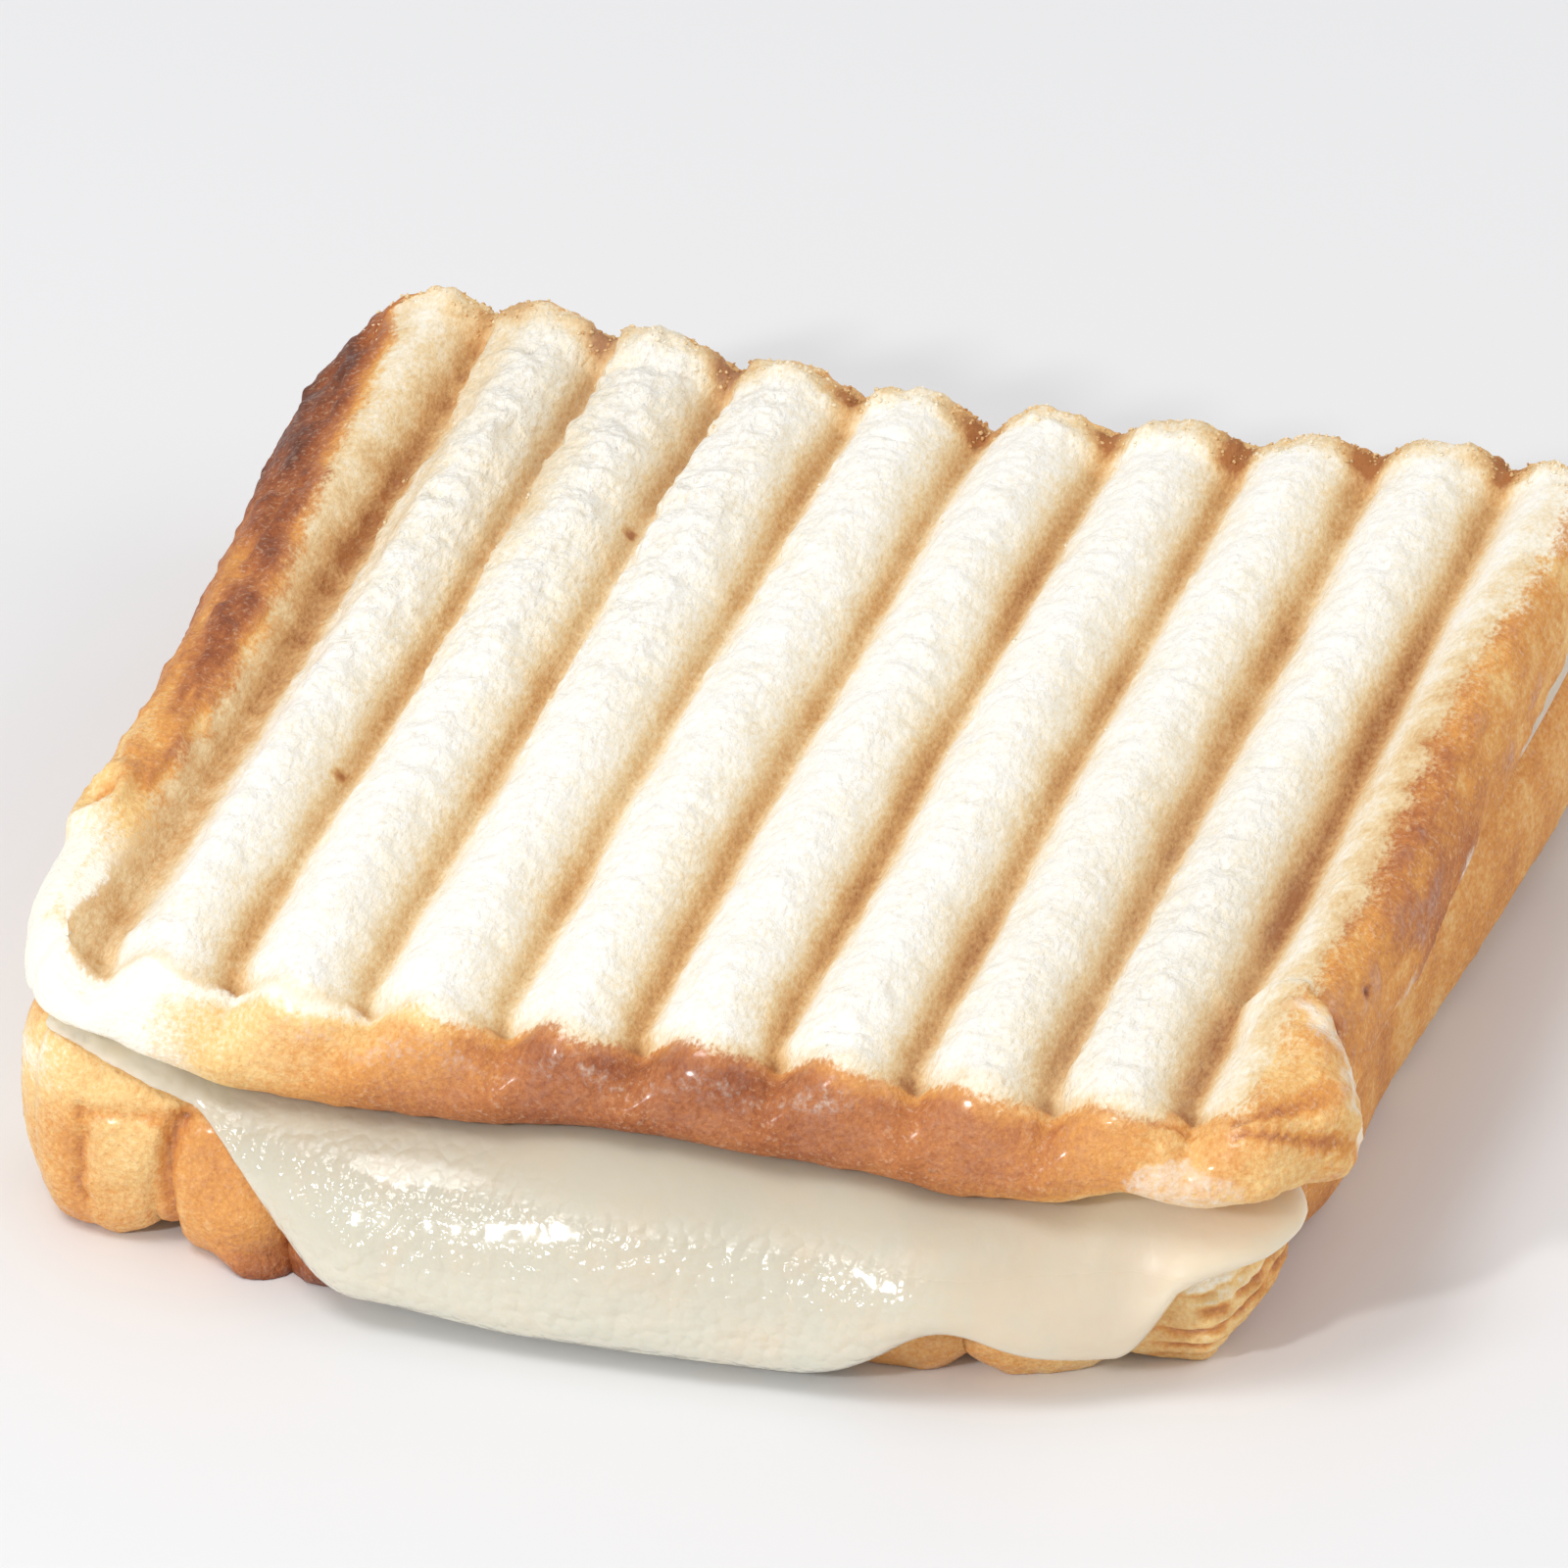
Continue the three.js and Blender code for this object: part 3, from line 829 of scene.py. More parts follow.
right_toast = along(y, RIGHT_BAND) + 0.2 * crumbly - 0.14 * bell((past - 2.2) / 1.6)
right_toast += 0.26 * smooth(-4.5, 0.5, around + 1.2 * crumbly) * smooth(62, 30, y)
toast = np.where(x > PRINTED_X + 0.8, np.maximum(toast, right_toast), toast)
# Painted shade greys the crumb on the back left ribs and, less, on the front right ones.
dull = 0.16 * smooth(-12, -34, x) * smooth(2, 42, y) + 0.12 * smooth(10, 42, x) * smooth(16, -24, y)
dull *= (1 - crust) * smooth(-47, -44, x) * smooth(49, 46, x) * (w > 0)
print("toast runs from", round(float(toast.min()), 2), "to", round(float(toast.max()), 2))

# %% [markdown]
# The crust went darkest where it touched the hot plate. The front is cream at the left corner, amber beside
# it, brown in the middle and tan at the right; the left side goes from cream to nearly burnt at the back.
# Its shine breaks up where a pale, peeled skin lies on it; pale specks on the front are painted highlight.

# %% Baking and shine of the upper crust
LEFT_OUTER = [(-44, -0.14), (-36, 0.06), (-28, 0.24), (-10, 0.38), (0, 0.48), (10, 0.58), (20, 0.7),
              (30, 0.88), (46, 0.96)]
LEFT_INNER = [(-44, -0.08), (-36, 0.2), (-28, 0.48), (-20, 0.52), (-10, 0.76), (0, 0.72), (30, 0.8),
              (46, 0.7)]
# The right crust bakes lighter towards the back, partly a painted highlight.
RIGHT_BAKE = [(-48, 0.38), (-38, 0.44), (-20, 0.44), (-10, 0.56), (0, 0.6), (10, 0.48), (24, 0.42), (40, 0.3)]
FRONT_BAKE = [(-60, -0.14), (-46, -0.12), (-38, 0.16), (-30, 0.38), (-20, 0.52), (-10, 0.66), (0, 0.74),
              (12, 0.72), (22, 0.66), (32, 0.6), (40, 0.5), (60, 0.5)]
BURNT = [(0.5, (-58.0, 7.6, 23.5), (-58.0, 9.8, 23.5)), (0.45, (-57.6, -20.2, 23.7), (-57.5, -17.0, 23.9))]
CORNER_CRACKS = [
    (0.35, (56.7, -58.5, 24.0), (56.9, -58.5, 21.5)),
    (0.3, (58.0, -56.5, 21.2), (60.0, -54.5, 20.4)),
    (0.3, (51.0, -59.5, 21.8), (53.4, -59.4, 20.6)),
    (0.3, (53.2, -59.3, 20.4), (55.0, -59.0, 19.9)),
    (0.4, (55.0, -33.4, 26.2), (57.6, -29.6, 25.6)),
    (0.5, (58.6, 0.3, 18.4), (58.6, 0.5, 17.6)),
    (0.45, (56.6, 33.5, 25.6), (57.4, 36.5, 24.6)),
]

patches = cloud(x, 0.5 * y, z, 5.0, 3, 11)
wrinkles = cloud(x, 0.3 * y, z, 1.4, 3, 13)
streaky = cloud(x, 0.4 * y, z, 1.6, 3, 17)
side_x = x + 55 + 0.05 * y
left_bake = along(y, LEFT_OUTER) + (along(y, LEFT_INNER) - along(y, LEFT_OUTER)) * smooth(-1.5, 1.5, side_x)
left_bake += (0.14 * patches + 0.3 * wrinkles) * smooth(-40, -26, y)
right_bake = along(y, RIGHT_BAKE) + 0.16 * patches + 0.2 * streaky
# Painted shade: the crust is baked darker on the shaded flank beside each valley end.
shaded_flank = bell((past + 2.9) / 1.6) * smooth(-28, -16, x) * smooth(26, 16, x) * bell((roll - 0.16) / 0.14)
front_bake = along(x, FRONT_BAKE) + 0.14 * shaded_flank + 0.1 * patches
front_bake -= 0.18 * smooth(0.5, 0.15, roll) * smooth(-40, -30, x) * smooth(-5, -20, x)
# Painted light: the lower part of the front crust at the right is baked paler where the overhang shades it.
front_bake -= 0.22 * smooth(0.5, 0.8, roll) * smooth(26, 38, x)
front_bake += 0.07 * smooth(0.4, 0.6, roll) * smooth(-36, -26, x) * smooth(8, 0, x)
bake = left * left_bake + right * right_bake + front * front_bake + back * (0.5 + 0.25 * patches)
bake -= 0.22 * smooth(1.6, 0.2, around - crust_start) * (front * smooth(46, 38, x) + back)
bake -= 0.34 * smooth(2.2, 0.0, around - crust_start) * left * smooth(-25, -5, y)
bake = bake * (1 - 0.3 * peeled) + 0.26 * folds * smooth(0.4, -0.9, fold_wave) + 0.35 * shadow_line
bake += 0.4 * lines(base, CORNER_CRACKS)
toast += 0.26 * folds * smooth(0.4, -0.9, fold_wave)
gloss = left * (0.2 + 0.35 * wrinkles) + 0.8 * right * smooth(0.1, 0.6, streaky) + back * 0.4
gloss += front * (0.35 + 0.65 * smooth(0.62, 0.4, roll)) * (1 - 0.8 * bell(past / 2.4))
film = right * smooth(0.45, 0.6, roll + 0.1 * patches) * smooth(-0.1, 0.5, cloud(x, 0.3 * y, z, 3.0, 2, 19))
bare_patch = 0.5 * front * smooth(0.4, 0.6, bell((x - 49) / 7) * bell((z - 22) / 3) + 0.25 * crumbly)
# A painted highlight: pale specks along the upper roll of the front crust, where its shine would be.
painted_highlight = 0.36 * front * bell((roll - 0.3) / 0.14) * smooth(-38, -26, x) * smooth(34, 16, x)
painted_highlight *= 0.85 + 0.35 * cloud(0.5 * x, y, z, 2.4, 2, 33)
pale = np.maximum.reduce([0.62 * frayed, 0.6 * film, bare_patch, painted_highlight])
char = lines(base, BURNT)
print("the crust's mean baking is", round(float(bake[crust > 0.5].mean()), 2))

# %% [markdown]
# Torn crumb is soft and lumpy like cotton, with open pores and a few cracks, and breaks off along the
# valleys in a ragged step. The plate has pressed it smooth in the valleys. The back of the left ribs is the
# most torn, and the back edge has been crushed into crumbs. Crust wrinkles instead: fine leather everywhere,
# folds across the left edge, a small loop of skin near its front and soft waves round the white corner. The
# crust at the end of each valley is lifted straight up, as a push along the normals would fold the mesh.

# %% Relief of the upper slice
CRACKS = [(0.35, (-8.5, -44.9, 28.6), (-5.0, -44.4, 29.0), (-1.5, -45.0, 28.4)),
          (0.3, (14.5, -53.4, 28.0), (18.0, -54.2, 28.6), (21.5, -53.8, 28.0)),
          (0.3, (14.8, -51.6, 28.4), (18.5, -52.2, 28.8), (21.0, -52.0, 28.4)),
          (0.55, (-7.6, 45.6, 28.0), (-5.6, 44.9, 28.4), (-3.4, 45.3, 28.4), (-1.6, 46.4, 27.8)),
          (0.5, (-31.6, 11.2, 27.4), (-28.6, 10.4, 28.4), (-25.4, 11.0, 27.6))]
LOOP_PLACE = (-54.7, -31.9)
LOOP_SIZE = (1.9, 4.4)

torn = 0.25 + 0.75 * smooth(0, -30, x) * smooth(-30, 35, y) + 0.3 * smooth(20, 45, x) * smooth(10, -30, y)
open_crumb = printed * (1 - 0.9 * np.clip(1.6 * toast, 0, 1))
relief = open_crumb * (0.1 + 0.5 * torn) * (1.3 - 2.6 * puffs(x, 0.6 * y, z, 2.4, 2, 21))
relief += open_crumb * 0.22 * cloud(x, 0.7 * y, z, 1.5, 2, 23)
relief -= open_crumb * (0.2 + 0.8 * torn) * pores(x, 0.7 * y, z, 3.4, 0.8, 2)
relief -= open_crumb * 0.3 * pores(x, 0.7 * y, z, 1.9, 0.45, 4)
break_line = past - 1.5 + 1.1 * crumbly + 0.5 * soft
relief += printed * 0.8 * torn * smooth(-0.3, 0.4, break_line) * bell((past - 2.0) / 2.2) * (past > -1)
relief += (1 - crust) * 0.07 * cloud(x, y, z, 1.1, 2, 35)
relief += crust * 0.14 * cloud(x, y, z, 1.6, 3, 41)
relief += crust * left * (0.8 * wrinkles + 0.3 * cloud(x, 0.25 * y, z, 0.9, 2, 15)) * smooth(-40, -25, y)
relief += crust * (front + right) * 0.16 * cloud(0.5 * x, 0.5 * y, z, 1.1, 2, 47)
relief += crust * right * 0.4 * streaky
crushed = back * smooth(-3.0, 0.0, around) * smooth(0.35, 0.1, roll)
relief += crushed * (0.7 * puffs(x, y, z, 1.5, 2, 51) + 0.6 * cloud(x, y, z, 1.8, 2, 53))
relief -= 1.2 * bell((x + 45.6) / 1.7) * smooth(56, 40, np.abs(y)) * (1 - crust)
edge_lip = bell((around - crust_start) / 0.5) * front * bell(past / 3.2)
relief += 0.1 * edge_lip - 0.5 * lines(base, CRACKS) - 0.5 * lines(base, CORNER_CRACKS)
relief += 1.2 * stands_out + 0.34 * folds * fold_wave + 0.8 * frayed * cloud(x, y, z, 1.2, 2, 57)
pale_corner = crust * smooth(-34, -44, x) * smooth(-38, -48, y)
corner_wave = cloud(0.3 * x, 0.3 * y, around, 1.5, 2, 85)
relief += 0.5 * pale_corner * corner_wave
gloss += pale_corner * (0.45 + 0.4 * corner_wave)
bake += 0.22 * pale_corner * smooth(-0.1, -0.7, corner_wave)
loop_far = np.linalg.norm((base[:, :2] - LOOP_PLACE) / LOOP_SIZE, axis=1)
relief += (1.0 * bell((loop_far - 0.9) / 0.35) - 0.5 * bell(loop_far / 0.5)) * (w > 0)
bake += 0.3 * bell((loop_far - 0.35) / 0.2) * (w > 0)
# Painted shade darkens the hollows of the torn crumb.
dull += 0.14 * open_crumb * torn * smooth(0.1, -0.6, relief)
upper_normals = normals(base, quads, triangles)
upper_points = base + upper_normals * relief[:, None]
valley_end = bell(past / 1.9) * front * smooth(49, 47, x)
upper_points[:, 2] += 1.0 * valley_end * smooth(3, 0, inside) * smooth(0.6, 0.1, roll)
upper_points[:, 1] -= 0.7 * valley_end * bell((roll - 0.4) / 0.25)
paint = bread_paint(crust=crust, toast=toast, bake=bake, gloss=np.clip(gloss, 0, 1), pale=pale, char=char,
                    dull=dull, open=open_crumb * torn)
make_piece("upper_slice", upper_points, quads, triangles, paint, BREAD, "top_slice")

# %% [markdown]
# Wherever bread tears, it leaves crumbs: along the crushed back edge, and where the ribs broke off along
# the valleys. Each is a small uneven ball, about as toasted as the place it lies on. A separate object for
# each would be slow, so all are one mesh of copies, made with array sums and no loop.

# %% Crumbs on the torn edges


def crumb_shell():
    """Points and triangles of an octahedron whose faces are split in four and pushed out to a ball."""
    points = [(1, 0, 0), (-1, 0, 0), (0, 1, 0), (0, -1, 0), (0, 0, 1), (0, 0, -1)]
    faces = [(0, 2, 4), (2, 1, 4), (1, 3, 4), (3, 0, 4), (2, 0, 5), (1, 2, 5), (3, 1, 5), (0, 3, 5)]
    middle = {}
    for a, b in {tuple(sorted((f[i], f[i - 1]))) for f in faces for i in range(3)}:
        middle[a, b] = middle[b, a] = len(points)
        points.append(np.add(points[a], points[b]) / math.sqrt(2))
    split = []
    for a, b, c in faces:
        ab, bc, ca = middle[a, b], middle[b, c], middle[c, a]
        split += [(a, ab, ca), (ab, b, bc), (ca, bc, c), (ab, bc, ca)]
    return np.array(points, float), np.array(split)


CRUMB_COUNT = 2200
CRUMB_SIZE = 0.15
CRUMB_SINK = 0.3

back_rim = back * smooth(-2.6, -0.4, around) * smooth(0.4, 0.15, roll)
broken = printed * torn * bell((break_line - 0.2) / 0.6) * smooth(0, 1, past)
share = back_rim + 0.25 * broken * smooth(-10, 10, y)
where = rng.choice(len(upper_points), CRUMB_COUNT, p=share / share.sum())
ball, ball_faces = crumb_shell()
radius = CRUMB_SIZE * (0.5 + rng.random((CRUMB_COUNT, 1, 1)))
shape = ball[None] * (0.65 + 0.7 * rng.random((CRUMB_COUNT, len(ball), 1)))
shape = shape * (0.7 + 0.6 * rng.random((CRUMB_COUNT, 1, 3)))
centre = upper_points[where] - upper_normals[where] * CRUMB_SINK * radius[:, 0]
centre = centre + 0.25 * (rng.random((CRUMB_COUNT, 3)) - 0.5)
crumb_points = (centre[:, None] + shape * radius).reshape(-1, 3)
crumb_faces = (ball_faces[None] + len(ball) * np.arange(CRUMB_COUNT)[:, None, None]).reshape(-1, 3)
golden = np.clip(toast[where], 0.25, 0.7) * (0.7 + 0.5 * rng.random(CRUMB_COUNT))
paint = bread_paint(toast=np.repeat(golden, len(ball)))
make_piece("loose_crumbs", crumb_points, np.zeros((0, 4), int), crumb_faces, paint, BREAD)

# %% [markdown]
# The lower slice shows only its crust. Two of its corners are folded: the front left one is pinched by
# creases round a paler panel, and the front right one is pleated like a fan. Where its underside met the
# ribs of the plate the bottom edge is scalloped, and a dark lip of it sticks out under the cheese's left end.

# %% The lower slice
PINCH = [(0.8, (-38.8, 14.0), (-40.1, 11.0), (-40.7, 7.5), (-40.6, 3.0), (-40.4, 0.5))]
FOLD = [(0.5, (-48.0, 13.4), (-44.1, 13.2), (-38.8, 14.0))]
PANEL_EDGE = [(0.4, (-48.1, 13.3), (-47.3, 11.4), (-48.6, 9.0), (-47.9, 7.3), (-48.8, 5.9), (-48.0, 4.6))]
# The front crust is baked lighter from x 26 to 48, partly painted light where the cheese's sheet shades it.
LOWER_FRONT_BAKE = [(-60, 0.18), (-54, 0.26), (-49, 0.4), (-44, 0.38), (-40, 0.38), (-34, 0.46), (-28, 0.5),
                    (0, 0.5), (26, 0.32), (34, 0.32), (42, 0.28), (48, 0.28), (56, 0.04)]
CHIP_PLACE = (57.9, -49.0, 9.5)
CHIP_SIZE = (1.4, 2.5, 1.0)
PLEAT_PITCH = 1.9

base, u, v, w, on_rim, quads, triangles = LOWER
x, y, z = base.T
left, right, front, back = sides(u, v)
roll = np.where(on_rim, (1 + w) / 2, 0)
inside = np.where(on_rim | (w > 0), 0, edge_distance(x, y, LOWER_OUTLINE))
around = LOWER_ROUND * roll - inside
soft = lumps(x, y, z, 1.6, 63)
patches = cloud(x, y, z, 6.0, 3, 65)
crumbly = cloud(x, y, z, 2.4, 3, 66)
facing = np.stack([x + 0.5 * crumbly, z + 0.5 * soft], -1)
wall = front * smooth(-30, -40, y)
pinch, fold, panel_edge = [wall * lines(facing, marks) for marks in (PINCH, FOLD, PANEL_EDGE)]
panel = wall * smooth(-48.2, -47.6, facing[:, 0]) * smooth(-40.4, -41.2, x) * smooth(13.4, 12.6, facing[:, 1])
pleat_turn = 2 * np.pi * (z - 0.18 * (x - 50) - 0.03 * (x - 50) ** 2 - 0.5 * patches) / PLEAT_PITCH
pleats = fan(x, y) * smooth(11, 8, z) * on_rim
pleat_lines = pleats * smooth(0.0, -0.9, np.sin(pleat_turn)) * smooth(0.5, 1.5, z)
arch = wall * smooth(17, 22, x) * smooth(46, 41, x) * smooth(6, 4, z)
low_lip = wall * smooth(-37, -31, x) * smooth(-18, -24, x) * smooth(3.6, 1.6, z + 0.8 * soft)
chip = bell(np.linalg.norm((base - CHIP_PLACE) / CHIP_SIZE, axis=1)) * on_rim

crust = smooth(-1.5, 0.0, around + 0.8 * soft)
toast = 0.35 + 0.5 * bell((RIB_PITCH / 2 - np.abs(past_valley(x))) / 2.2)
low_part = smooth(6, 1, z) * smooth(-40, -32, x) * smooth(20, 10, x)
bake = front * (along(x, LOWER_FRONT_BAKE) + 0.14 * low_part)
bake += right * (0.4 + 0.1 * patches) + left * (0.3 + 0.3 * patches) + back * 0.5 + 0.1 * patches
bake -= 0.08 * panel + 0.16 * smooth(12, 16, z) * front
bake += 0.2 * pinch + 0.06 * fold + 0.12 * panel_edge + 0.4 * pleat_lines + 0.24 * low_lip
# Above the pleats the corner is baked lighter, painted light where the cheese's lip shades it, with brown
# patches.
bake += fan(x, y) * smooth(7, 9, z) * (0.1 * smooth(0.1, 0.5, crumbly) - 0.14)
gloss = front * (0.6 + 0.4 * arch) + left * 0.5 + right * 0.12 + back * 0.3
film = right * smooth(0.72, 0.85, roll + 0.06 * patches) * smooth(-0.3, 0.3, cloud(x, 0.3 * y, z, 3.0, 2, 68))
pale = np.maximum(chip, 0.75 * film)
relief = crust * 0.16 * cloud(x, y, z, 1.4, 3, 67) + (1 - crust) * 0.2 * cloud(x, y, z, 2.0, 3, 69)
relief += 1.9 * wall * bell((x + 34) / 4.6) * bell((z - 4) / 5.5)
relief -= 1.3 * pinch + 0.35 * fold + 0.45 * panel_edge
relief += 0.4 * panel * smooth(-48.0, -46.5, x) + 0.35 * wall * cloud(x, y, z, 4.0, 2, 72)
relief += 0.35 * pleats * np.sin(pleat_turn) + 1.0 * arch + 2.4 * low_lip + 0.7 * chip
relief += 0.5 * fan(x, y) * smooth(7, 9, z) * cloud(x, y, z, 1.8, 2, 70)
relief -= 1.6 * right * smooth(-24, -36, y) * on_rim
lower_points = base + normals(base, quads, triangles) * relief[:, None]
lower_points[:, 2] = np.maximum(lower_points[:, 2], 0.0)
paint = bread_paint(crust=crust, toast=toast, bake=bake, gloss=gloss, pale=pale)
make_piece("lower_slice", lower_points, quads, triangles, paint, BREAD, "bottom_slice")

# %% [markdown]
# The cheese fills the seam all round and hangs over the front in one heavy sheet. It is a shell of closed
# rings: out of the middle along the seam, over the bulge, down to the hem, and back up inside the lower
# slice's crust, where nothing shows.

# %% The cheese as a function of u, v and the way down the sheet


def hem_height(x):
    """How high the hanging sheet ends: lowest in the middle, with steps up to both sides and one notch."""
    low = 0.7 + smooth(-6, -20, x) + 2.4 * smooth(-22, -29, x) + 5.6 * bell((x - 29) / 6.5)
    return low + 2.8 * smooth(24, 40, x) + 12.5 * smooth(43, 52, x)


def crust_profile(height):
    """How far out the lower slice's crust stands at a height from -1 to 1, as a share of its reach."""
    return np.clip(1 - np.abs(height) ** 2.6, 0, 1) ** (1 / 2.6)


def cheese_point(u, v, down):
    """The sheet: a stretched half circle from down = 0 at the upper slice, over the bulge, to 1 at the hem.

    From there to down = 2 it goes back up inside the crust."""
    x, y = plan(u, v, LOWER_OUTLINE)
    nx, ny = outward(u, v)
    front = np.clip(-ny, 0, 1) ** 2
    hang = smooth(-38.5, -25, x) * (1 - smooth(50, 62, x))
    lip = smooth(40, 50, x) * smooth(-34, -46, y)
    top = seam_low(x, y)
    high = seam_top(x, y) - 0.1
    tip = top - 0.3 + (hem_height(x) - top + 0.3) * front * hang - 0.4 * lip * (1 - front * hang)
    heavy = smooth(-39, -21, x) * (1 - 0.15 * smooth(0, 22, x)) * (1 - 0.45 * smooth(34, 56, x))
    swell = 0.4 + front * (1.2 + 7.6 * heavy) + 3.2 * lip * (1 - front)
    swell = swell + 4.6 * np.clip(nx, 0, 1) * tongue(x, y)
    belly = top / 2
    tip_height = np.clip((tip - belly) / (top - belly), 0, 0.98)
    tip_out = crust_reach(x, y, tip_height) * crust_profile(tip_height) + 0.3
    turn = np.pi / 2 * (1 - 2 * np.clip(down, 0, 1))
    s = np.sin(turn)
    c = np.clip(np.cos(turn), 0, 1)
    out = tip_out * (1 - s) / 2 + swell * c ** 0.95
    z = (high + tip) / 2 + (high - tip) / 2 * np.sign(s) * np.abs(s) ** 0.95 - 0.11 * (high - tip) * c ** 2
    back_up = np.clip(down - 1, 0, 1)
    out = np.where(down > 1, (tip_out - 1.2 * smooth(0, 0.2, back_up)) * (1 - back_up ** 3), out)
    z = np.where(down > 1, tip + (top - tip) * back_up, z)
    return np.stack([x + nx * out, y + ny * out, z], -1)


def ring_shell(ring_points, first_point, last_point):
    """Quads and triangles of closed rings, with a point at each end. Rings are rows of equal length."""
    rows, around = ring_points.shape[:2]
    rings = np.arange(rows * around).reshape(rows, around)
    points = np.concatenate([ring_points.reshape(-1, 3), [first_point, last_point]])
    first = np.full(around, rows * around)
    start = np.stack([first, rings[0], np.roll(rings[0], -1)], -1)
    end = np.stack([first + 1, np.roll(rings[-1], -1), rings[-1]], -1)
    return points, wrap_quads(rings), np.concatenate([start, end])


SHEET_STEPS = (540, 170, 90, 140)
OUTER_RINGS, INNER_RINGS = 79, 13

rim_u, rim_v = rim_path(SHEET_STEPS)
down = np.concatenate([np.linspace(0, 1, OUTER_RINGS), 1 + np.linspace(0, 1, INNER_RINGS)[1:]])
u = np.tile(rim_u, (len(down), 1))
v = np.tile(rim_v, (len(down), 1))
ways = np.repeat(down[:, None], len(rim_u), 1)
sheet = cheese_point(u, v, ways)
print("the sheet has", sheet.shape[0], "rings of", sheet.shape[1], "points")

# %% [markdown]
# The sheet sagged unevenly as it cooled. Slow lumps give it its soft dents, and the finest grains are left
# to the material.

# %% The cheese
inner_top, inner_low = sheet[[0, -1]] * (0.9, 0.9, 1)
rings = np.concatenate([inner_top[None], sheet, inner_low[None]])
first_point = [0, 0, float(seam_top(0.0, 0.0))]
last_point = [0, 0, float(seam_low(0.0, 0.0))]
base, quads, triangles = ring_shell(rings, first_point, last_point)
x, y, z = base.T
outer = np.concatenate([[0], np.sin(np.pi * np.clip(down, 0, 1)), [0]])
outer = np.concatenate([np.repeat(outer, len(rim_u)), [0, 0]])
dents = 0.4 * cloud(x, y, z, 16.0, 2, 77) + 0.08 * cloud(x, y, z, 4.0, 3, 73)
dents += 0.05 * cloud(x, y, z, 1.2, 2, 75)
dents += 0.5 * cloud(x, y, z, 2.2, 3, 79) * smooth(-36, -44, x)
cheese_points = base + normals(base, quads, triangles) * (outer * dents)[:, None]
cheese_points[:, 2] = np.maximum(cheese_points[:, 2], 0.1)
# Painted shade: the sheet darkens under the crust's overhang and, less, from a little above the hem upwards.
overhang_shade = smooth(10, 17, z) * smooth(-30, -50, y)
level = z + 1.5 * smooth(-20, 5, x)
deep = (0.42 * overhang_shade + 0.2 * smooth(4, 10, z)) * smooth(56, 30, x) * smooth(-48, -36, x)
paint = {"warm": smooth(10, 50, x) + smooth(-34, -46, x),
         "grainy": (0.06 + 0.94 * smooth(32, 21, x)) * smooth(18, 14, level),
         "satin": smooth(13, 17, level),
         "deep": deep}
make_piece("cheese_sheet", cheese_points, quads, triangles, paint, CHEESE, "melted_cheese")

# %% [markdown]
# The camera looks down from the front, a little from the right, through a long lens, which keeps the ribs
# nearly parallel. It is rolled by less than a degree.

# %% The camera
AZIMUTH, ELEVATION, ROLL = math.radians(16.93), math.radians(31.43), math.radians(-0.69)
DISTANCE = 1324.0
FOCAL_LENGTH = 348.75
SENSOR_WIDTH = 36.0
AIM_LEFT, AIM_DOWN = 2.76, 4.91


def stand(thing, across, upward, backward, place):
    """Puts a camera or a lamp at a place in metres, with its three axes. It looks away from backward."""
    matrix = np.eye(4)
    matrix[:3] = np.stack([across, upward, backward, place], -1)
    thing.matrix_world = Matrix(matrix.tolist())


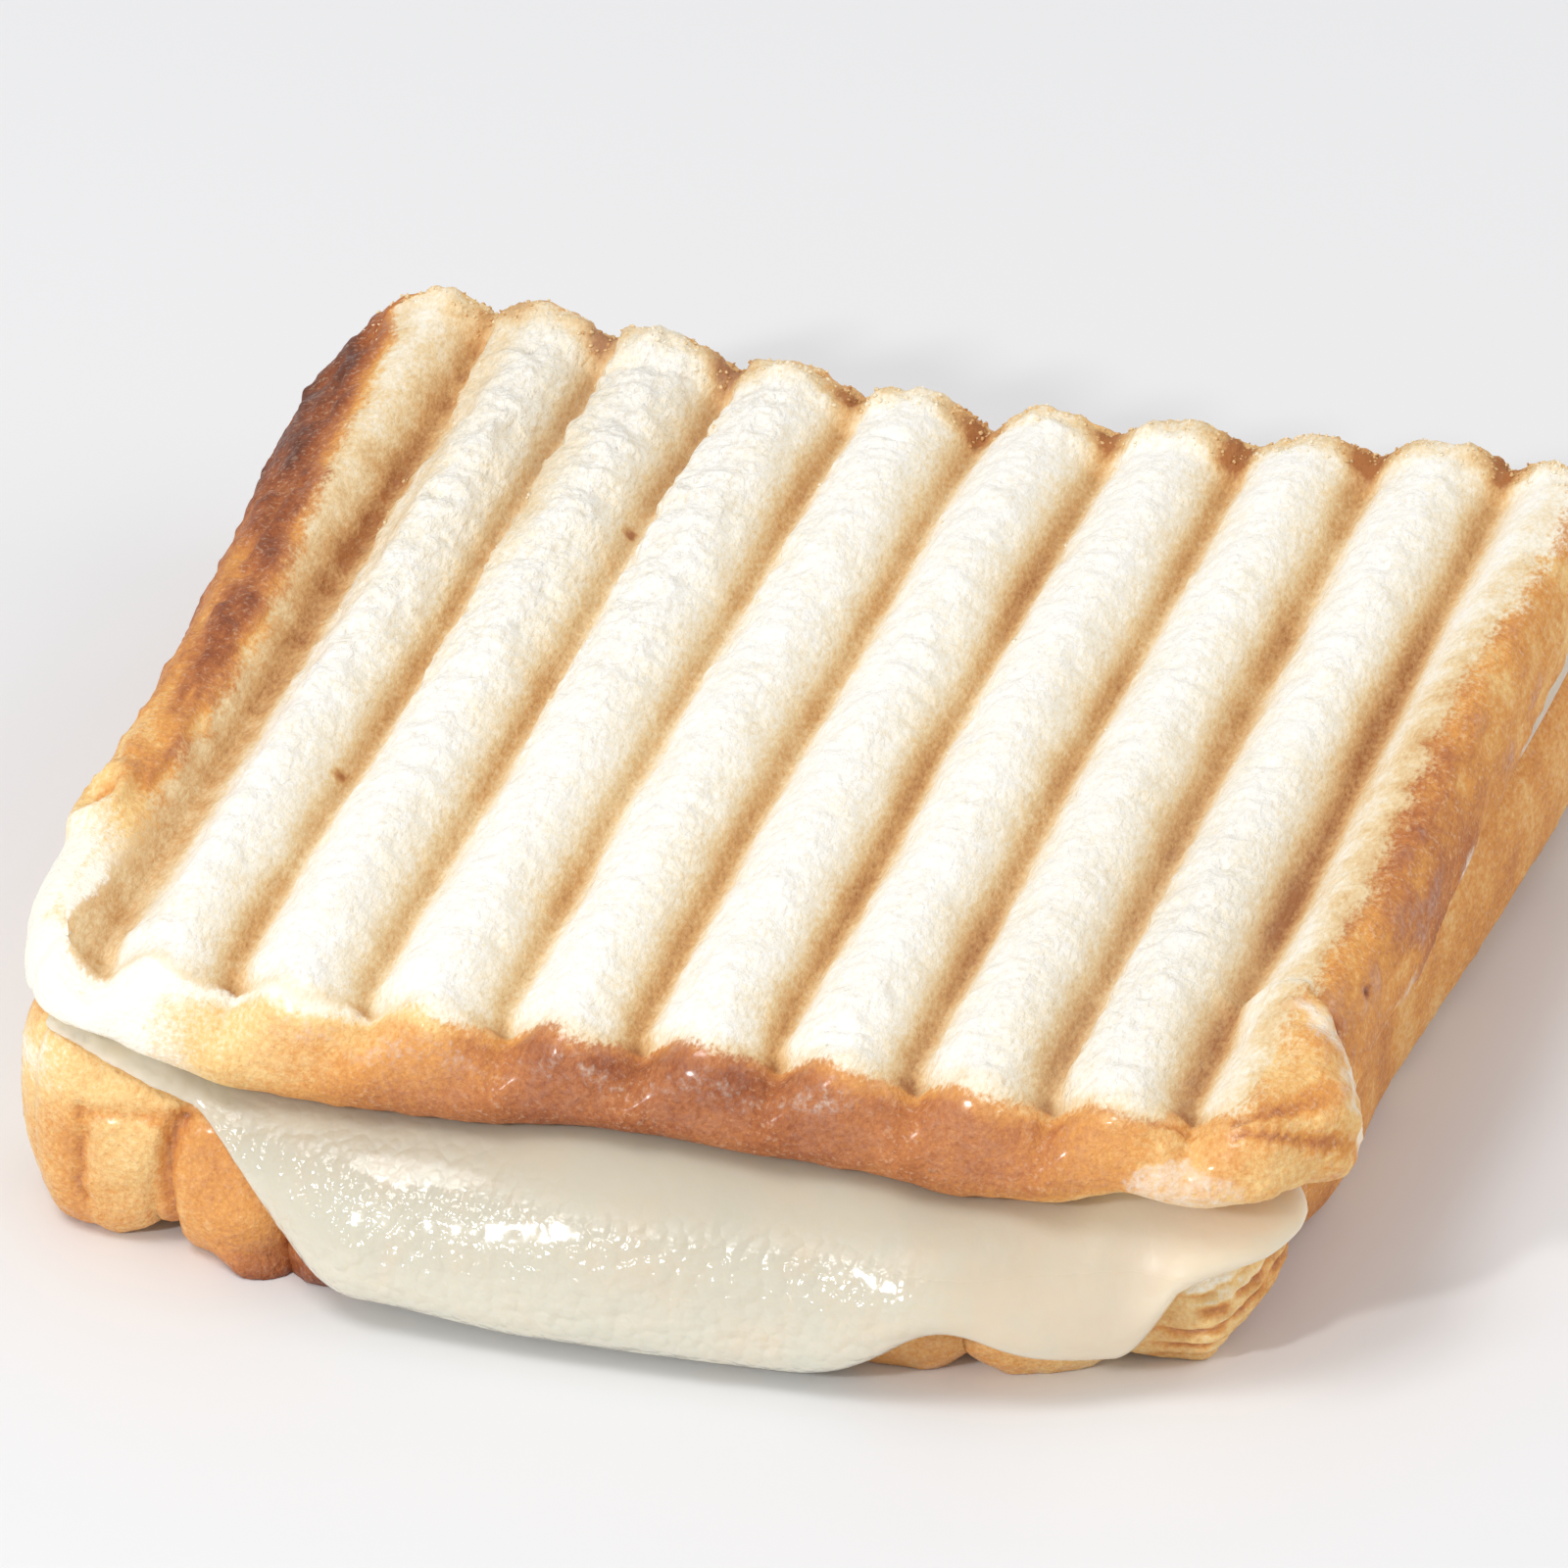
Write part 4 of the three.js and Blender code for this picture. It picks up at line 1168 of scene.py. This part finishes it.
back_way = np.array([math.sin(AZIMUTH) * math.cos(ELEVATION), -math.cos(AZIMUTH) * math.cos(ELEVATION),
                     math.sin(ELEVATION)])
level_way = np.array([math.cos(AZIMUTH), math.sin(AZIMUTH), 0.0])
upright = np.cross(back_way, level_way)
right_way = level_way * math.cos(ROLL) + upright * math.sin(ROLL)
up_way = upright * math.cos(ROLL) - level_way * math.sin(ROLL)
aim = np.array([0.0, 0.0, VALLEY_TOP]) - AIM_LEFT * right_way - AIM_DOWN * up_way
camera_place = (aim + back_way * DISTANCE) * MM
camera_data = bpy.data.cameras.new("camera")
camera_data.sensor_width = SENSOR_WIDTH
camera_data.lens = FOCAL_LENGTH
camera_data.clip_start = 0.1
camera_data.clip_end = 20.0
camera = add_object("camera", camera_data)
stand(camera, right_way, up_way, back_way, camera_place)
bpy.context.scene.camera = camera
print("camera at", np.round(camera_place, 3), "m")

# %% [markdown]
# The table is plain and pale. Soft light comes from all round, from a wide window on the right, a softbox
# above and a small window behind. One small lamp stands low at the front left. It bleaches the left flanks
# of the ribs and lights the sparks on the cheese.

# %% Floor and light
FLOOR_REACH = 3.0
SOFT_LIGHT = (0.985, 0.99, 1.0, 1.0)
SOFT_STRENGTH = 0.58

floor_mesh = bpy.data.meshes.new("table")
floor_corners = [(a * FLOOR_REACH, b * FLOOR_REACH, 0) for a, b in ((-1, -1), (1, -1), (1, 1), (-1, 1))]
floor_mesh.from_pydata(floor_corners, [], [(0, 1, 2, 3)])
floor_mesh.materials.append(Finish("pale_table").surface(Base_Color=shade(233, 233, 234), Roughness=0.6))
floor = add_object("table", floor_mesh)

world = bpy.data.worlds.new("soft_light")
world.use_nodes = True
background = world.node_tree.nodes["Background"]
background.inputs["Color"].default_value = SOFT_LIGHT
background.inputs["Strength"].default_value = SOFT_STRENGTH
bpy.context.scene.world = world


def lamp(name, direction, distance, size, power):
    """A square area light that looks at the middle of the object. Distance and size are in metres."""
    data = bpy.data.lights.new(name, "AREA")
    data.size = size
    data.energy = power
    towards = np.array(direction) / np.linalg.norm(direction)
    side = np.cross([0, 0, 1], towards)
    side = side / np.linalg.norm(side)
    stand(add_object(name, data), side, np.cross(towards, side), towards, towards * distance)
    print(name, "gives", round(power / (math.pi * distance ** 2), 2), "W/m² at the object")


lamp("low_lamp", (-0.40, -0.78, 0.49), 1.5, 0.11, 7.5)
lamp("wide_window", (0.85, 0.05, 0.5), 1.6, 1.2, 5.0)
lamp("softbox", (-0.25, -0.36, 0.9), 1.2, 0.4, 4.5)
lamp("back_window", (0.5, 0.8, 0.4), 1.5, 0.4, 0.9)
bpy.context.scene.view_settings.view_transform = "Standard"
